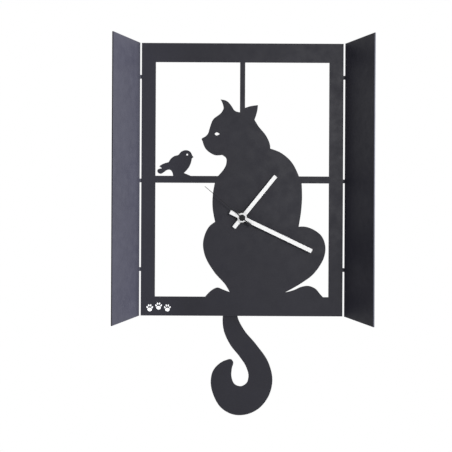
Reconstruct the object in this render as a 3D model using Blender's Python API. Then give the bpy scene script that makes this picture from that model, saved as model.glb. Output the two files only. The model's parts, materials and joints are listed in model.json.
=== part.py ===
"""A cat tail clock: a cat in a window with folding shutters, and a tail that swings as the pendulum.

Lengths are in millimetres here, and become metres where a mesh is made. X runs to the right, Z up, and
the front looks along -Y. The wall is the plane Y = 0, and the hands turn about the axis X = Z = 0.
"""

import math

import bmesh
import bpy
from mathutils import Matrix, Vector

MM = 0.001
GAP = 0.3  # between pieces that touch
SHARP = "sharp"  # marks an outline point where the curve has a corner

# Window panel, a laser-cut sheet
SHEET = 1.5
PANEL_FRONT = -22.8
PANEL_BACK = PANEL_FRONT + SHEET
PANEL_MIDDLE = PANEL_FRONT + SHEET / 2
PANEL_HALF_WIDTH = 111.0
PANEL_BOTTOM, PANEL_TOP = -108.5, 191.5
SIDE_BAR, END_BAR = 15.5, 21.0
LIGHT_HALF_WIDTH = PANEL_HALF_WIDTH - SIDE_BAR
LIGHT_BOTTOM, LIGHT_TOP = PANEL_BOTTOM + END_BAR, PANEL_TOP - END_BAR
MUNTIN_HALF = 2.8
CROSSBAR_BOTTOM, CROSSBAR_TOP = 37.7, 45.4

# Shutters, folded towards the viewer on three narrow bend tabs each
SLOT = 3.4
SHUTTER_WIDTH = 64.0
SHUTTER_FOLD = math.radians(71.5)
SHUTTER_AXIS = PANEL_HALF_WIDTH + SLOT / 2
TAB_HEIGHT = 4.2
TAB_LEVELS = (154.2, 40.1, -57.4)

# Movement case
CASE_HALF_WIDTH = 28.0
CASE_BOTTOM, CASE_TOP = -56.0, 32.0
CASE_FRONT, CASE_SPLIT = -20.0, -10.0
CASE_WALL = 1.5
CASE_FLOOR = CASE_FRONT + CASE_WALL
CORNER_RADIUS = 3.0
SCREW_PLACES = [(x, z) for x in (-24.0, 24.0) for z in (-52.0, 28.0)]
SCREW_RADIUS, SCREW_HEAD_RADIUS = 1.0, 2.0
SCREW_TIP, SCREW_SHOULDER, SCREW_FACE = -15.5, -1.3, -0.2
FRONT_BOSS_RADIUS, REAR_BOSS_RADIUS = 2.4, 2.9
PLATE_POSTS = [(x, z) for x in (-21.5, 21.5) for z in (-10.0, 17.0)]
PLATE_POST_RADIUS = 1.6
BAY_BOTTOM, BAY_TOP = -31.4, -15.6
BAY_RIB = 1.2
BAY_WINDOW_HALF_WIDTH = 25.5
KNOB_RECESS_RADIUS = 6.0
SINK = 0.5  # how deep a rib or boss is rooted in the floor it stands on
OVERSHOOT = 2.0  # how far a cutting tool runs past what it cuts

# Wall hanger, on the top of the case
HANGER_FRONT, HANGER_BACK = -4.1, -2.9
HANGER_HALF_WIDTH, HANGER_HEIGHT = 9.0, 11.0
HANGER_FOOT_FRONT, HANGER_FOOT_HEIGHT = -12.0, 1.2
EYE_RADIUS, EYE_BOTTOM = 4.5, 3.0

# Threaded bush and what clamps the panel on it
BUSH_RADIUS, BUSH_BORE = 4.0, 2.9
BUSH_END = -27.0
BUSH_FLANGE = {"radius": 6.0, "front": -18.2, "back": -17.5}
PANEL_HOLE = 4.3
GASKET_HALF_WIDTH = 11.0
WASHER_RADIUS, WASHER_THICKNESS = 7.0, 0.5
NUT_ACROSS_FLATS, NUT_THICKNESS = 12.0, 2.3

# Battery, size AA
CELL_RADIUS = 7.1
CELL_CENTRE = (-8.7, -23.5)  # Y, Z
CELL_HALF_LENGTH = 24.6
CELL_BUTTON_RADIUS, CELL_BUTTON_LENGTH = 2.7, 1.0
CONTACT_HALF_WIDTH, CONTACT_THICKNESS = 5.0, 0.4

# Circuit board and what it carries
BOARD_X, BOARD_Z = (-25.5, -3.5), (-12.5, 8.5)
CHIP_PLACE, CHIP_RADIUS, CHIP_THICKNESS = (-12.0, -3.0), 3.2, 0.9
CRYSTAL_X, CRYSTAL_Z, CRYSTAL_RADIUS = (-22.0, -16.5), 4.0, 0.9

# Step motor: the stator and its coil. Pairs are half heights along Y and Z
STATOR_HALF_WIDTH, STATOR_LEG_INSIDE = 18.0, 13.0
STATOR_BOTTOM, STATOR_BRIDGE, STATOR_TOP = 11.5, 20.0, 28.0
ROTOR_WINDOW_RADIUS = 3.5
CORE_Z = (24.5, 27.5)
BOBBIN_HALF_LENGTH, FLANGE_THICKNESS = 11.5, 0.8
BOBBIN_TUBE, BOBBIN_FLANGE, WINDING = (1.3, 2.4), (3.6, 4.2), (3.4, 4.0)

# Wheels: teeth and modules of each mesh, from the rotor to the hour wheel
TOOTH_ADDENDUM, TOOTH_DEDENDUM = 0.8, 1.1
TOOTH_ROOT, TOOTH_TIP = 0.5, 0.2  # shares of the pitch
ROTOR_TEETH, INTERMEDIATE_TEETH, ROTOR_MODULE = 8, 60, 0.25
INTERMEDIATE_PINION, SECONDS_TEETH, SECONDS_MODULE = 10, 40, 0.36
SECONDS_PINION, THIRD_TEETH, THIRD_MODULE = 8, 60, 0.30
THIRD_PINION, CENTRE_TEETH = 8, 64
CANNON_TEETH, MOTION_TEETH, MOTION_MODULE = 12, 36, 0.40
MOTION_PINION, HOUR_TEETH = 10, 40
KNOB_TEETH = 12
THIRD_DISTANCE = (SECONDS_PINION + THIRD_TEETH) / 2 * THIRD_MODULE
CENTRE_MODULE = THIRD_DISTANCE * 2 / (THIRD_PINION + CENTRE_TEETH)
MOTION_DISTANCE = (CANNON_TEETH + MOTION_TEETH) / 2 * MOTION_MODULE
HOUR_MODULE = MOTION_DISTANCE * 2 / (MOTION_PINION + HOUR_TEETH)
INTERMEDIATE_DISTANCE = (INTERMEDIATE_PINION + SECONDS_TEETH) / 2 * SECONDS_MODULE
ROTOR_DISTANCE = (ROTOR_TEETH + INTERMEDIATE_TEETH) / 2 * ROTOR_MODULE
KNOB_DISTANCE = (KNOB_TEETH + MOTION_TEETH) / 2 * MOTION_MODULE
THIRD_ANGLE, MOTION_ANGLE, KNOB_ANGLE = 180, 0, -45  # degrees from +X towards +Z
INTERMEDIATE_ANGLE, ROTOR_ANGLE = 70, 120

# Levels of the wheel train, front and back of each layer
HOUR_LAYER = (-17.2, -16.2)
MOTION_LAYER = (-15.8, -14.8)
CENTRE_LAYER = (-14.4, -13.6)
THIRD_LAYER = (-13.2, -12.4)
PLATE_LAYER = (-11.9, -10.9)
SECONDS_LAYER = (-10.5, -9.7)
INTERMEDIATE_LAYER = (-9.2, -8.4)
ROTOR_LAYER = (-7.9, -4.9)
STATOR_LAYER = (-6.9, -6.1)
CORE_LAYER = (-8.0, -7.2)
BOARD_LAYER = (-4.0, -3.0)
PIVOT_RADIUS = 0.45
SOCKET_RADIUS = 1.5
THIRD_PIVOT_FRONT = -17.6
SECONDS_PIVOT_BACK, ROTOR_PIVOT_BACK = -5.0, -2.6
END_PLAY = 0.4
MOTION_POST_RADIUS = 0.6
ROTOR_MAGNET_RADIUS = 2.9
PLATE_HALF_WIDTH, PLATE_BOTTOM, PLATE_TOP = 24.0, -12.5, 19.5

# Setting knob
KNOB_SHAFT_RADIUS = 0.9
KNOB_SHAFT_FRONT = -17.4
KNOB_SOCKET_RADIUS = 2.0
KNOB_GRIP_TEETH, KNOB_GRIP_MODULE = 24, 0.42
KNOB_GRIP_LAYER = (-1.4, -0.3)

# Hands: angles clockwise from twelve
HOUR_ANGLE, MINUTE_ANGLE, SECOND_ANGLE = 38.8, 115.4, 309.8
HOUR_HAND = {"length": 58.4, "tail": 14.3, "width": 4.3, "front": -28.3, "back": -27.7}
MINUTE_HAND = {"length": 84.2, "tail": 14.5, "width": 4.5, "front": -31.0, "back": -30.4}
SECOND_HAND = {"length": 53.0, "tail": 14.0, "width": 1.0, "front": -33.1, "back": -32.7}
SECOND_TAIL_START, SECOND_TAIL_HALF_WIDTH = -8.0, 1.3
SECOND_HUB_RADIUS, SECOND_HUB_DEPTH = 2.2, 0.6
HUB_RADIUS = 5.05
HAND_CORNER = 0.5
CAP_RADIUS, CAP_HEIGHT, CAP_BEVEL = 3.4, 0.9, 0.6
HOUR_TUBE, HOUR_BORE = 2.5, 1.8
MINUTE_TUBE, MINUTE_BORE = 1.6, 0.75
SECOND_ARBOR = 0.5

# Pendulum
PIVOT_Z = -37.0
ARM_FRONT, ARM_BACK = -8.9, -7.7
ARM_HALF_WIDTH, ARM_BULGE = 2.5, 3.6
ARM_HUB = {"radius": 3.0, "bore": 1.3, "front": -10.2, "back": -6.4}
ARM_SLOT = {"half_width": 8.0, "front": -11.0, "back": -5.5}
PEG_Z = -63.0
PEG_RADIUS, PEG_HEAD_RADIUS, PEG_FRONT, PEG_SHOULDER = 1.2, 1.7, -12.2, -11.3
TAIL_FRONT = -10.75
TAIL_HOLE = 2.1
MAGNET_Z = -47.0
ARM_MAGNET_RADIUS, ARM_MAGNET_FRONT = 3.4, -12.6
PIN_RADIUS = 1.0
DRIVE_COIL = {"bore": 1.4, "tube": 2.2, "radius": 6.6, "flange": 0.6, "front": -17.9, "back": -13.3}

# The cat's outline in four stretches, each from the window's bars: X, Z
CAT_FACE = [
    (-2.8, 115.6, SHARP), (-8.3, 117.3), (-12.2, 122.7), (-17.0, 127.8), (-24.1, 129.7, SHARP),
    (-21.6, 124.2), (-20.9, 119.6), (-22.7, 116.0), (-32.4, 107.3), (-36.3, 97.0), (-37.9, 91.9),
    (-41.1, 88.6), (-44.8, 86.2), (-43.7, 83.2), (-42.4, 79.1), (-40.1, 75.0), (-35.4, 70.9),
    (-30.3, 68.4), (-22.4, 68.6, SHARP), (-17.5, 64.5), (-17.3, 61.4), (-26.6, CROSSBAR_TOP, SHARP),
]
CAT_CHEST = [
    (-30.1, CROSSBAR_BOTTOM, SHARP), (-32.2, 25.2), (-32.5, 12.0), (-29.6, -5.1, SHARP),
    (-35.5, -9.6), (-40.9, -19.5), (-42.8, -30.0), (-41.2, -40.3), (-30.5, -60.0), (-17.0, -75.6),
    (-13.2, -82.3, SHARP), (-20.5, -79.6), (-26.5, -77.4), (-33.4, -80.6), (-38.4, -85.5),
    (-40.1, LIGHT_BOTTOM, SHARP),
]
CAT_BACK = [
    (2.8, 120.5, SHARP), (8.7, 122.4), (17.0, 123.6, SHARP), (16.5, 118.6), (13.3, 107.5, SHARP),
    (16.9, 101.5), (26.8, 88.8), (30.4, 80.2), (30.8, 75.9, SHARP), (43.0, 71.0), (53.3, 62.3),
    (62.5, CROSSBAR_TOP, SHARP),
]
CAT_HAUNCH = [
    (65.5, CROSSBAR_BOTTOM, SHARP), (66.0, 20.3), (65.2, 8.3), (62.4, -10.0, SHARP), (69.2, -9.9),
    (79.2, -13.3), (88.1, -20.7), (92.0, -32.4), (90.6, -43.3), (85.6, -53.3), (77.2, -63.7),
    (67.2, -71.1), (47.5, -82.5, SHARP), (57.3, -79.9), (65.8, -76.2), (73.0, -75.1),
    (81.2, -78.1), (86.5, -84.1), (89.6, LIGHT_BOTTOM, SHARP),
]
CAT_EYE = [(-30.4, 91.8), (-29.0, 93.3), (-24.8, 91.7, SHARP), (-29.0, 90.2)]

# The bird, from its tail side round the tail, back, head and breast to its legs
BIRD = [
    (-76.1, CROSSBAR_TOP, SHARP), (-77.0, 49.4), (-79.4, 52.0), (-82.8, 51.7), (-86.4, 49.2),
    (-89.8, 47.5), (-92.9, 49.0), (-93.4, 51.4), (-88.3, 53.6, SHARP), (-91.3, 55.8, SHARP),
    (-88.6, 57.7), (-81.0, 60.4, SHARP), (-78.3, 64.5), (-74.3, 67.3), (-70.6, 68.3),
    (-67.2, 72.0), (-62.2, 73.7), (-57.3, 72.0), (-55.1, 67.8, SHARP), (-53.6, 66.1, SHARP),
    (-55.5, 64.6, SHARP), (-56.3, 60.4), (-58.6, 55.0), (-64.2, 48.5, SHARP), (-61.5, 47.5),
    (-56.6, CROSSBAR_TOP, SHARP),
]
BIRD_EYE = (-60.6, 68.8)
BIRD_EYE_RADIUS = 1.0

# The tail, from its stem down the left side, round the inside of the curl to the tip, then back outside
TAIL = [
    (-4.3, -58.5, SHARP), (-5.4, -72.0), (-14.9, -92.0), (-20.7, -111.0), (-19.5, -126.8),
    (-12.4, -142.5), (-1.1, -156.8), (5.6, -167.3), (8.3, -178.5), (6.4, -185.3), (-0.4, -189.2),
    (-7.1, -186.8), (-10.5, -179.0), (-10.3, -169.5), (-9.0, -161.5), (-11.0, -159.2),
    (-16.9, -160.1), (-25.5, -165.0), (-31.5, -172.5), (-33.8, -183.0), (-30.8, -198.8),
    (-21.4, -213.8), (-7.9, -220.8), (4.1, -220.9), (19.1, -214.5), (31.1, -199.5),
    (35.1, -182.5), (30.7, -162.8), (16.9, -142.5), (2.6, -125.3), (-4.1, -111.3),
    (-4.0, -98.0), (3.4, -74.0), (4.3, -58.5, SHARP),
]


def clear_scene():
    for obj in list(bpy.data.objects):
        bpy.data.objects.remove(obj, do_unlink=True)


def material(name, colour, roughness, metallic=0.0):
    made = bpy.data.materials.new(name)
    made.use_nodes = True
    shader = made.node_tree.nodes["Principled BSDF"]
    shader.inputs["Base Color"].default_value = (*colour, 1.0)
    shader.inputs["Roughness"].default_value = roughness
    shader.inputs["Metallic"].default_value = metallic
    made.diffuse_color = (*colour, 1.0)
    return made


# Outlines

def smooth_outline(anchors, spacing=3.2):
    """Points along a curve through the anchors, open, with corners only at the sharp ones."""
    places = [Vector(anchor[:2]) for anchor in anchors]
    sharp = [len(anchor) > 2 for anchor in anchors]
    closed = not (sharp[0] and sharp[-1])
    count = len(places)
    last = count if closed else count - 1

    def direction(i):
        """The curve's direction at a smooth anchor, from the chords either side of it."""
        before = places[i] - places[i - 1]
        after = places[(i + 1) % count] - places[i]
        blend = before.normalized() * after.length + after.normalized() * before.length
        return blend / (before.length + after.length)

    points = []
    for i in range(last):
        start, end = places[i], places[(i + 1) % count]
        chord = end - start
        start_sharp, end_sharp = sharp[i], sharp[(i + 1) % count]
        leaving = chord.normalized() if start_sharp else direction(i)
        arriving = chord.normalized() if end_sharp else direction((i + 1) % count)
        if start_sharp and not end_sharp:
            leaving = (3 * chord.normalized() - arriving) / 2
        if end_sharp and not start_sharp:
            arriving = (3 * chord.normalized() - leaving) / 2
        straight = start_sharp and end_sharp
        steps = 1 if straight else max(2, round(chord.length / spacing))
        for step in range(steps):
            t = step / steps
            point = start * (2 * t**3 - 3 * t**2 + 1) + end * (3 * t**2 - 2 * t**3)
            point = point + leaving * chord.length * (t**3 - 2 * t**2 + t)
            points.append(point + arriving * chord.length * (t**3 - t**2))
    if not closed:
        points.append(places[-1])
    return [tuple(point) for point in points]


def circle(centre, radius, sides=24):
    return [
        (centre[0] + radius * math.cos(2 * math.pi * i / sides),
         centre[1] + radius * math.sin(2 * math.pi * i / sides))
        for i in range(sides)
    ]


def box_outline(x0, x1, z0, z1):
    return [(x0, z0), (x1, z0), (x1, z1), (x0, z1)]


def rounded_box(x0, x1, z0, z1, radius, steps=4):
    points = []
    corners = [(x1 - radius, z1 - radius), (x0 + radius, z1 - radius),
               (x0 + radius, z0 + radius), (x1 - radius, z0 + radius)]
    for quarter, corner in enumerate(corners):
        for step in range(steps + 1):
            angle = math.pi / 2 * (quarter + step / steps)
            points.append((corner[0] + radius * math.cos(angle), corner[1] + radius * math.sin(angle)))
    return points


def gear_outline(centre, teeth, module, turn):
    """Trapezoid teeth. turn is the angle of one tooth's middle, in radians."""
    pitch_radius = teeth * module / 2
    root = pitch_radius - TOOTH_DEDENDUM * module
    tip = pitch_radius + TOOTH_ADDENDUM * module
    pitch = 2 * math.pi / teeth
    corners = [(root, -TOOTH_ROOT), (tip, -TOOTH_TIP), (tip, TOOTH_TIP), (root, TOOTH_ROOT)]
    points = []
    for tooth in range(teeth):
        for radius, share in corners:
            angle = turn + pitch * (tooth + share / 2)
            points.append((centre[0] + radius * math.cos(angle), centre[1] + radius * math.sin(angle)))
    return points


def place_from(centre, distance, degrees):
    angle = math.radians(degrees)
    return (centre[0] + distance * math.cos(angle), centre[1] + distance * math.sin(angle))


def meshed_turn(own_turn, own_teeth, other_teeth, degrees):
    """The turn that puts a gap of the other gear on this gear's line of centres, in mesh with it."""
    line = math.radians(degrees)
    phase = (line - own_turn) * own_teeth / (2 * math.pi) % 1
    other_pitch = 2 * math.pi / other_teeth
    return line + math.pi + other_pitch / 2 + phase * other_pitch


# Solids

def add_object(name, bm, look=None, origin=(0, 0, 0)):
    """Makes the object from a mesh in millimetres. origin, in millimetres, is where its own origin lies."""
    bmesh.ops.recalc_face_normals(bm, faces=bm.faces)
    bmesh.ops.translate(bm, vec=-Vector(origin), verts=bm.verts)
    bmesh.ops.scale(bm, vec=(MM, MM, MM), verts=bm.verts)
    mesh = bpy.data.meshes.new(name)
    bm.to_mesh(mesh)
    bm.free()
    mesh.shade_smooth()
    mesh.set_sharp_from_angle(angle=math.radians(35))
    obj = bpy.data.objects.new(name, mesh)
    obj.location = Vector(origin) * MM
    bpy.context.scene.collection.objects.link(obj)
    if look:
        mesh.materials.append(look)
    return obj


def plate_mesh(loops, front, back):
    """A flat plate between two levels of Y. The first loop is its edge, and the others are holes."""
    bm = bmesh.new()
    edges = []
    for loop in loops:
        verts = [bm.verts.new((x, front, z)) for x, z in loop]
        edges += [bm.edges.new((verts[i - 1], verts[i])) for i in range(len(verts))]
    filled = bmesh.ops.triangle_fill(bm, use_beauty=True, use_dissolve=False, edges=edges)
    faces = [item for item in filled["geom"] if isinstance(item, bmesh.types.BMFace)]
    extruded = bmesh.ops.extrude_face_region(bm, geom=faces, use_keep_orig=True)
    moved = [item for item in extruded["geom"] if isinstance(item, bmesh.types.BMVert)]
    bmesh.ops.translate(bm, vec=(0, back - front, 0), verts=moved)
    return bm


def plate(name, loops, front, back, look=None, origin=(0, 0, 0)):
    return add_object(name, plate_mesh(loops, front, back), look, origin)


def turned_mesh(profile, centre=(0, 0), sides=24):
    """A solid turned about an axis along Y. profile is a closed line of (radius, Y)."""
    bm = bmesh.new()
    rings = []
    for radius, y in profile:
        if radius == 0:
            rings.append([bm.verts.new((centre[0], y, centre[1]))] * sides)
            continue
        rings.append([bm.verts.new((x, y, z)) for x, z in circle(centre, radius, sides)])
    for lower, upper in zip(rings, rings[1:] + rings[:1]):
        if lower[0] is lower[1] and upper[0] is upper[1]:
            continue
        for i in range(sides):
            j = (i + 1) % sides
            corners = list(dict.fromkeys([lower[i], lower[j], upper[j], upper[i]]))
            bm.faces.new(corners)
    return bm


def turned(name, profile, centre=(0, 0), look=None, sides=24, origin=(0, 0, 0)):
    return add_object(name, turned_mesh(profile, centre, sides), look, origin)


def rod(name, centre, radius, front, back, look=None, sides=24, origin=(0, 0, 0)):
    profile = [(0, front), (radius, front), (radius, back), (0, back)]
    return turned(name, profile, centre, look, sides, origin)


def ring(name, centre, bore, radius, front, back, look=None, sides=24, origin=(0, 0, 0)):
    profile = [(bore, front), (radius, front), (radius, back), (bore, back)]
    return turned(name, profile, centre, look, sides, origin)


def lying_cylinder(name, x_stations, centre, look, sides=24):
    """A cell that lies along X. x_stations is its closed line of (radius, X), and centre its (Y, Z)."""
    bm = turned_mesh(x_stations, (0, 0), sides)
    quarter_turn = Matrix.Rotation(math.radians(-90), 4, "Z")
    bmesh.ops.transform(bm, matrix=quarter_turn, verts=bm.verts)
    bmesh.ops.translate(bm, vec=(0, centre[0], centre[1]), verts=bm.verts)
    return add_object(name, bm, look)


def block(name, x, y, z, look=None, origin=(0, 0, 0)):
    return plate(name, [box_outline(*x, *z)], *y, look, origin)


def combine(target, operation, helpers):
    """Joins the helpers to the target, or cuts them from it, and leaves them as hidden tools."""
    for helper in helpers:
        modifier = target.modifiers.new(f"{operation.lower()} {helper.name}", "BOOLEAN")
        modifier.operation = operation
        modifier.solver = "EXACT"
        modifier.object = helper
        helper.hide_render = True
        helper.display_type = "WIRE"


def join(target, *helpers):
    combine(target, "UNION", helpers)


def cut(target, *helpers):
    combine(target, "DIFFERENCE", helpers)


def carry(name, place, pieces):
    """An empty on a joint's axis that carries the pieces of one moving body."""
    empty = bpy.data.objects.new(name, None)
    empty.location = Vector(place) * MM
    empty.empty_display_size = 10 * MM
    bpy.context.scene.collection.objects.link(empty)
    for piece in pieces:
        piece.parent = empty
        piece.matrix_parent_inverse = Matrix.Translation(-empty.location)
    return empty


# Window and shutters

def panel_edge():
    """The frame's outer edge, with its share of each bend tab, which ends clear of the folded shutter."""
    reach = SHUTTER_AXIS - SHEET / 2 - GAP
    right = []
    for level in sorted(TAB_LEVELS):
        low, high = level - TAB_HEIGHT / 2, level + TAB_HEIGHT / 2
        right += [(PANEL_HALF_WIDTH, low), (reach, low), (reach, high), (PANEL_HALF_WIDTH, high)]
    right = [(PANEL_HALF_WIDTH, PANEL_BOTTOM)] + right + [(PANEL_HALF_WIDTH, PANEL_TOP)]
    return right + [(-x, z) for x, z in reversed(right)]


def panes():
    """The four openings, each bounded by bars and by the cat or the bird."""
    side = LIGHT_HALF_WIDTH
    upper_left = [(-side, LIGHT_TOP), (-MUNTIN_HALF, LIGHT_TOP)] + smooth_outline(CAT_FACE)
    upper_left += smooth_outline(BIRD)[::-1] + [(-side, CROSSBAR_TOP)]
    upper_right = [(side, CROSSBAR_TOP), (side, LIGHT_TOP), (MUNTIN_HALF, LIGHT_TOP)]
    upper_right += smooth_outline(CAT_BACK)
    lower_left = [(-side, CROSSBAR_BOTTOM)] + smooth_outline(CAT_CHEST) + [(-side, LIGHT_BOTTOM)]
    lower_right = [(side, CROSSBAR_BOTTOM)] + smooth_outline(CAT_HAUNCH) + [(side, LIGHT_BOTTOM)]
    return [upper_left, upper_right, lower_left, lower_right]


def window_panel(look):
    eyes = [smooth_outline(CAT_EYE, 1.0), circle(BIRD_EYE, BIRD_EYE_RADIUS, 12)]
    bush_hole = circle((0, 0), PANEL_HOLE)
    return plate("window_panel", [panel_edge()] + panes() + eyes + [bush_hole],
                 PANEL_FRONT, PANEL_BACK, look)


def shutter(name, side, look):
    """side is -1 on the left and 1 on the right. It is cut flat, then turned about its bend line."""
    near, far = SLOT / 2, SLOT / 2 + SHUTTER_WIDTH
    outline = [(near, PANEL_BOTTOM), (far, PANEL_BOTTOM), (far, PANEL_TOP), (near, PANEL_TOP)]
    for level in sorted(TAB_LEVELS, reverse=True):
        low, high = level - TAB_HEIGHT / 2, level + TAB_HEIGHT / 2
        outline += [(near, high), (GAP, high), (GAP, low), (near, low)]
    outline = [(side * x, z) for x, z in outline]
    obj = plate(name, [outline], -SHEET / 2, SHEET / 2, look)
    obj.location = (side * SHUTTER_AXIS * MM, PANEL_MIDDLE * MM, 0)
    obj.rotation_euler = (0, 0, -side * SHUTTER_FOLD)
    return obj


# Places of the wheels

def wheel_places():
    places = {"third": place_from((0, 0), THIRD_DISTANCE, THIRD_ANGLE)}
    places["motion"] = place_from((0, 0), MOTION_DISTANCE, MOTION_ANGLE)
    places["knob"] = place_from(places["motion"], KNOB_DISTANCE, KNOB_ANGLE)
    places["intermediate"] = place_from((0, 0), INTERMEDIATE_DISTANCE, INTERMEDIATE_ANGLE)
    places["rotor"] = place_from(places["intermediate"], ROTOR_DISTANCE, ROTOR_ANGLE)
    return places


# Movement case

def case_outline(inset):
    return rounded_box(-CASE_HALF_WIDTH + inset, CASE_HALF_WIDTH - inset, CASE_BOTTOM + inset,
                       CASE_TOP - inset, CORNER_RADIUS - inset / 2)


def tray(name, floor, rim, look):
    """A shell with its floor at one level of Y and its wall reaching to the rim."""
    obj = plate(name, [case_outline(0)], floor, rim, look)
    inner = floor + CASE_WALL * (1 if rim > floor else -1)
    beyond = rim + (OVERSHOOT if rim > floor else -OVERSHOOT)
    cut(obj, plate(f"{name}_hollow", [case_outline(CASE_WALL)], inner, beyond))
    return obj


def arm_notch(name):
    """The slot in the case's underside that the pendulum arm swings in."""
    half = ARM_SLOT["half_width"]
    return block(name, (-half, half), (ARM_SLOT["front"], ARM_SLOT["back"]),
                 (CASE_BOTTOM - OVERSHOOT, CASE_BOTTOM + CASE_WALL + SINK))


def bay_ribs(name, floor, rim):
    """The two ribs that fence the battery bay, sunk a little into the floor and the side walls."""
    reach = CASE_HALF_WIDTH - CASE_WALL / 2
    low = block(f"{name}_low", (-reach, reach), (floor, rim), (BAY_BOTTOM - BAY_RIB, BAY_BOTTOM))
    high = block(f"{name}_high", (-reach, reach), (floor, rim), (BAY_TOP, BAY_TOP + BAY_RIB))
    return [low, high]


def socket(name, place, radius, bore, floor, rim, bottom):
    """A boss from the floor to its rim, with a blind bore that ends at the bottom level."""
    profile = [(0, floor), (radius, floor), (radius, rim), (bore, rim), (bore, bottom), (0, bottom)]
    return turned(name, profile, place, sides=16)


def front_case(look, places):
    rim = CASE_SPLIT - GAP / 2
    obj = tray("front_case", CASE_FRONT, rim, look)
    sunk = CASE_FLOOR - SINK
    join(obj, *bay_ribs("front_rib", sunk, rim - 0.2))
    for i, place in enumerate(SCREW_PLACES):
        join(obj, socket(f"front_boss_{i}", place, FRONT_BOSS_RADIUS, SCREW_RADIUS + GAP, sunk, rim - 0.1,
                         SCREW_TIP - 1.0))
    for i, place in enumerate(PLATE_POSTS):
        join(obj, rod(f"plate_post_{i}", place, PLATE_POST_RADIUS, sunk, PLATE_LAYER[0] - GAP, sides=12))
    join(obj, socket("third_socket", places["third"], SOCKET_RADIUS, PIVOT_RADIUS + GAP, sunk,
                     THIRD_PIVOT_FRONT + 1.0, THIRD_PIVOT_FRONT - END_PLAY))
    join(obj, rod("motion_post", places["motion"], MOTION_POST_RADIUS, sunk, MOTION_LAYER[1] + 0.1,
                  sides=16))
    join(obj, socket("knob_socket", places["knob"], KNOB_SOCKET_RADIUS, KNOB_SHAFT_RADIUS + GAP, sunk,
                     KNOB_SHAFT_FRONT + 1.0, KNOB_SHAFT_FRONT - END_PLAY))
    cut(obj, rod("front_bush_hole", (0, 0), PANEL_HOLE, CASE_FRONT - OVERSHOOT, CASE_FLOOR + OVERSHOOT))
    cut(obj, arm_notch("front_notch"))
    return obj


def rear_case(look, places):
    rim = CASE_SPLIT + GAP / 2
    obj = tray("rear_case", 0.0, rim, look)
    sunk = -CASE_WALL + SINK
    join(obj, *bay_ribs("rear_rib", rim + 0.2, sunk))
    for i, place in enumerate(SCREW_PLACES):
        join(obj, rod(f"rear_boss_{i}", place, REAR_BOSS_RADIUS, rim + 0.1, sunk, sides=16))
    for name, place, pivot, held in (("seconds", (0, 0), SECONDS_PIVOT_BACK, 1.8),
                                     ("intermediate", places["intermediate"], SECONDS_PIVOT_BACK, 1.8),
                                     ("rotor", places["rotor"], ROTOR_PIVOT_BACK, 0.8)):
        join(obj, socket(f"{name}_socket", place, SOCKET_RADIUS, PIVOT_RADIUS + GAP, sunk, pivot - held,
                         pivot + END_PLAY))
    half = BAY_WINDOW_HALF_WIDTH
    cut(obj, block("bay_window", (-half, half), (-CASE_WALL - OVERSHOOT, OVERSHOOT),
                   (BAY_BOTTOM + 1, BAY_TOP - 1)))
    cut(obj, rod("knob_recess", places["knob"], KNOB_RECESS_RADIUS, -CASE_WALL - 1, OVERSHOOT))
    shank, head = SCREW_RADIUS + GAP, SCREW_HEAD_RADIUS + GAP
    seat = SCREW_SHOULDER - GAP
    for i, place in enumerate(SCREW_PLACES):
        profile = [(0, rim - OVERSHOOT), (shank, rim - OVERSHOOT), (shank, seat), (head, seat),
                   (head, OVERSHOOT), (0, OVERSHOOT)]
        cut(obj, turned(f"screw_hole_{i}", profile, place, sides=16))
    cut(obj, arm_notch("rear_notch"))
    return obj


def case_screws(look):
    slot_depth, slot_half_width = 0.5, 0.3
    for number, place in enumerate(SCREW_PLACES, 1):
        profile = [(0, SCREW_TIP), (SCREW_RADIUS, SCREW_TIP), (SCREW_RADIUS, SCREW_SHOULDER),
                   (SCREW_HEAD_RADIUS, SCREW_SHOULDER), (SCREW_HEAD_RADIUS, SCREW_FACE), (0, SCREW_FACE)]
        screw = turned(f"case_screw_{number}", profile, place, look, 16)
        reach = SCREW_HEAD_RADIUS + OVERSHOOT
        cut(screw, block(f"screw_slot_{number}", (place[0] - reach, place[0] + reach),
                         (SCREW_FACE - slot_depth, SCREW_FACE + OVERSHOOT),
                         (place[1] - slot_half_width, place[1] + slot_half_width)))


def wall_hanger(look):
    """A bent steel loop on the case's top wall, which drops over a nail."""
    base = CASE_TOP + GAP
    half = HANGER_HALF_WIDTH
    hidden = 5.0  # the loop's lower corners, trimmed off at the base
    loop = rounded_box(-half, half, base - hidden, base + HANGER_HEIGHT, hidden)
    eye = [(-EYE_RADIUS, base + EYE_BOTTOM), (EYE_RADIUS, base + EYE_BOTTOM)] + [
        place_from((0, base + EYE_BOTTOM + 1), EYE_RADIUS, degrees) for degrees in range(0, 181, 20)
    ]
    upright = plate("wall_hanger", [loop, eye], HANGER_FRONT, HANGER_BACK, look)
    cut(upright, block("hanger_trim", (-half - OVERSHOOT, half + OVERSHOOT),
                       (HANGER_FRONT - OVERSHOOT, HANGER_BACK + OVERSHOOT),
                       (base - hidden - OVERSHOOT, base)))
    join(upright, block("hanger_foot", (-half, half), (HANGER_FOOT_FRONT, HANGER_BACK),
                        (base, base + HANGER_FOOT_HEIGHT)))
    return upright


# Clamping of the panel

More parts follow.
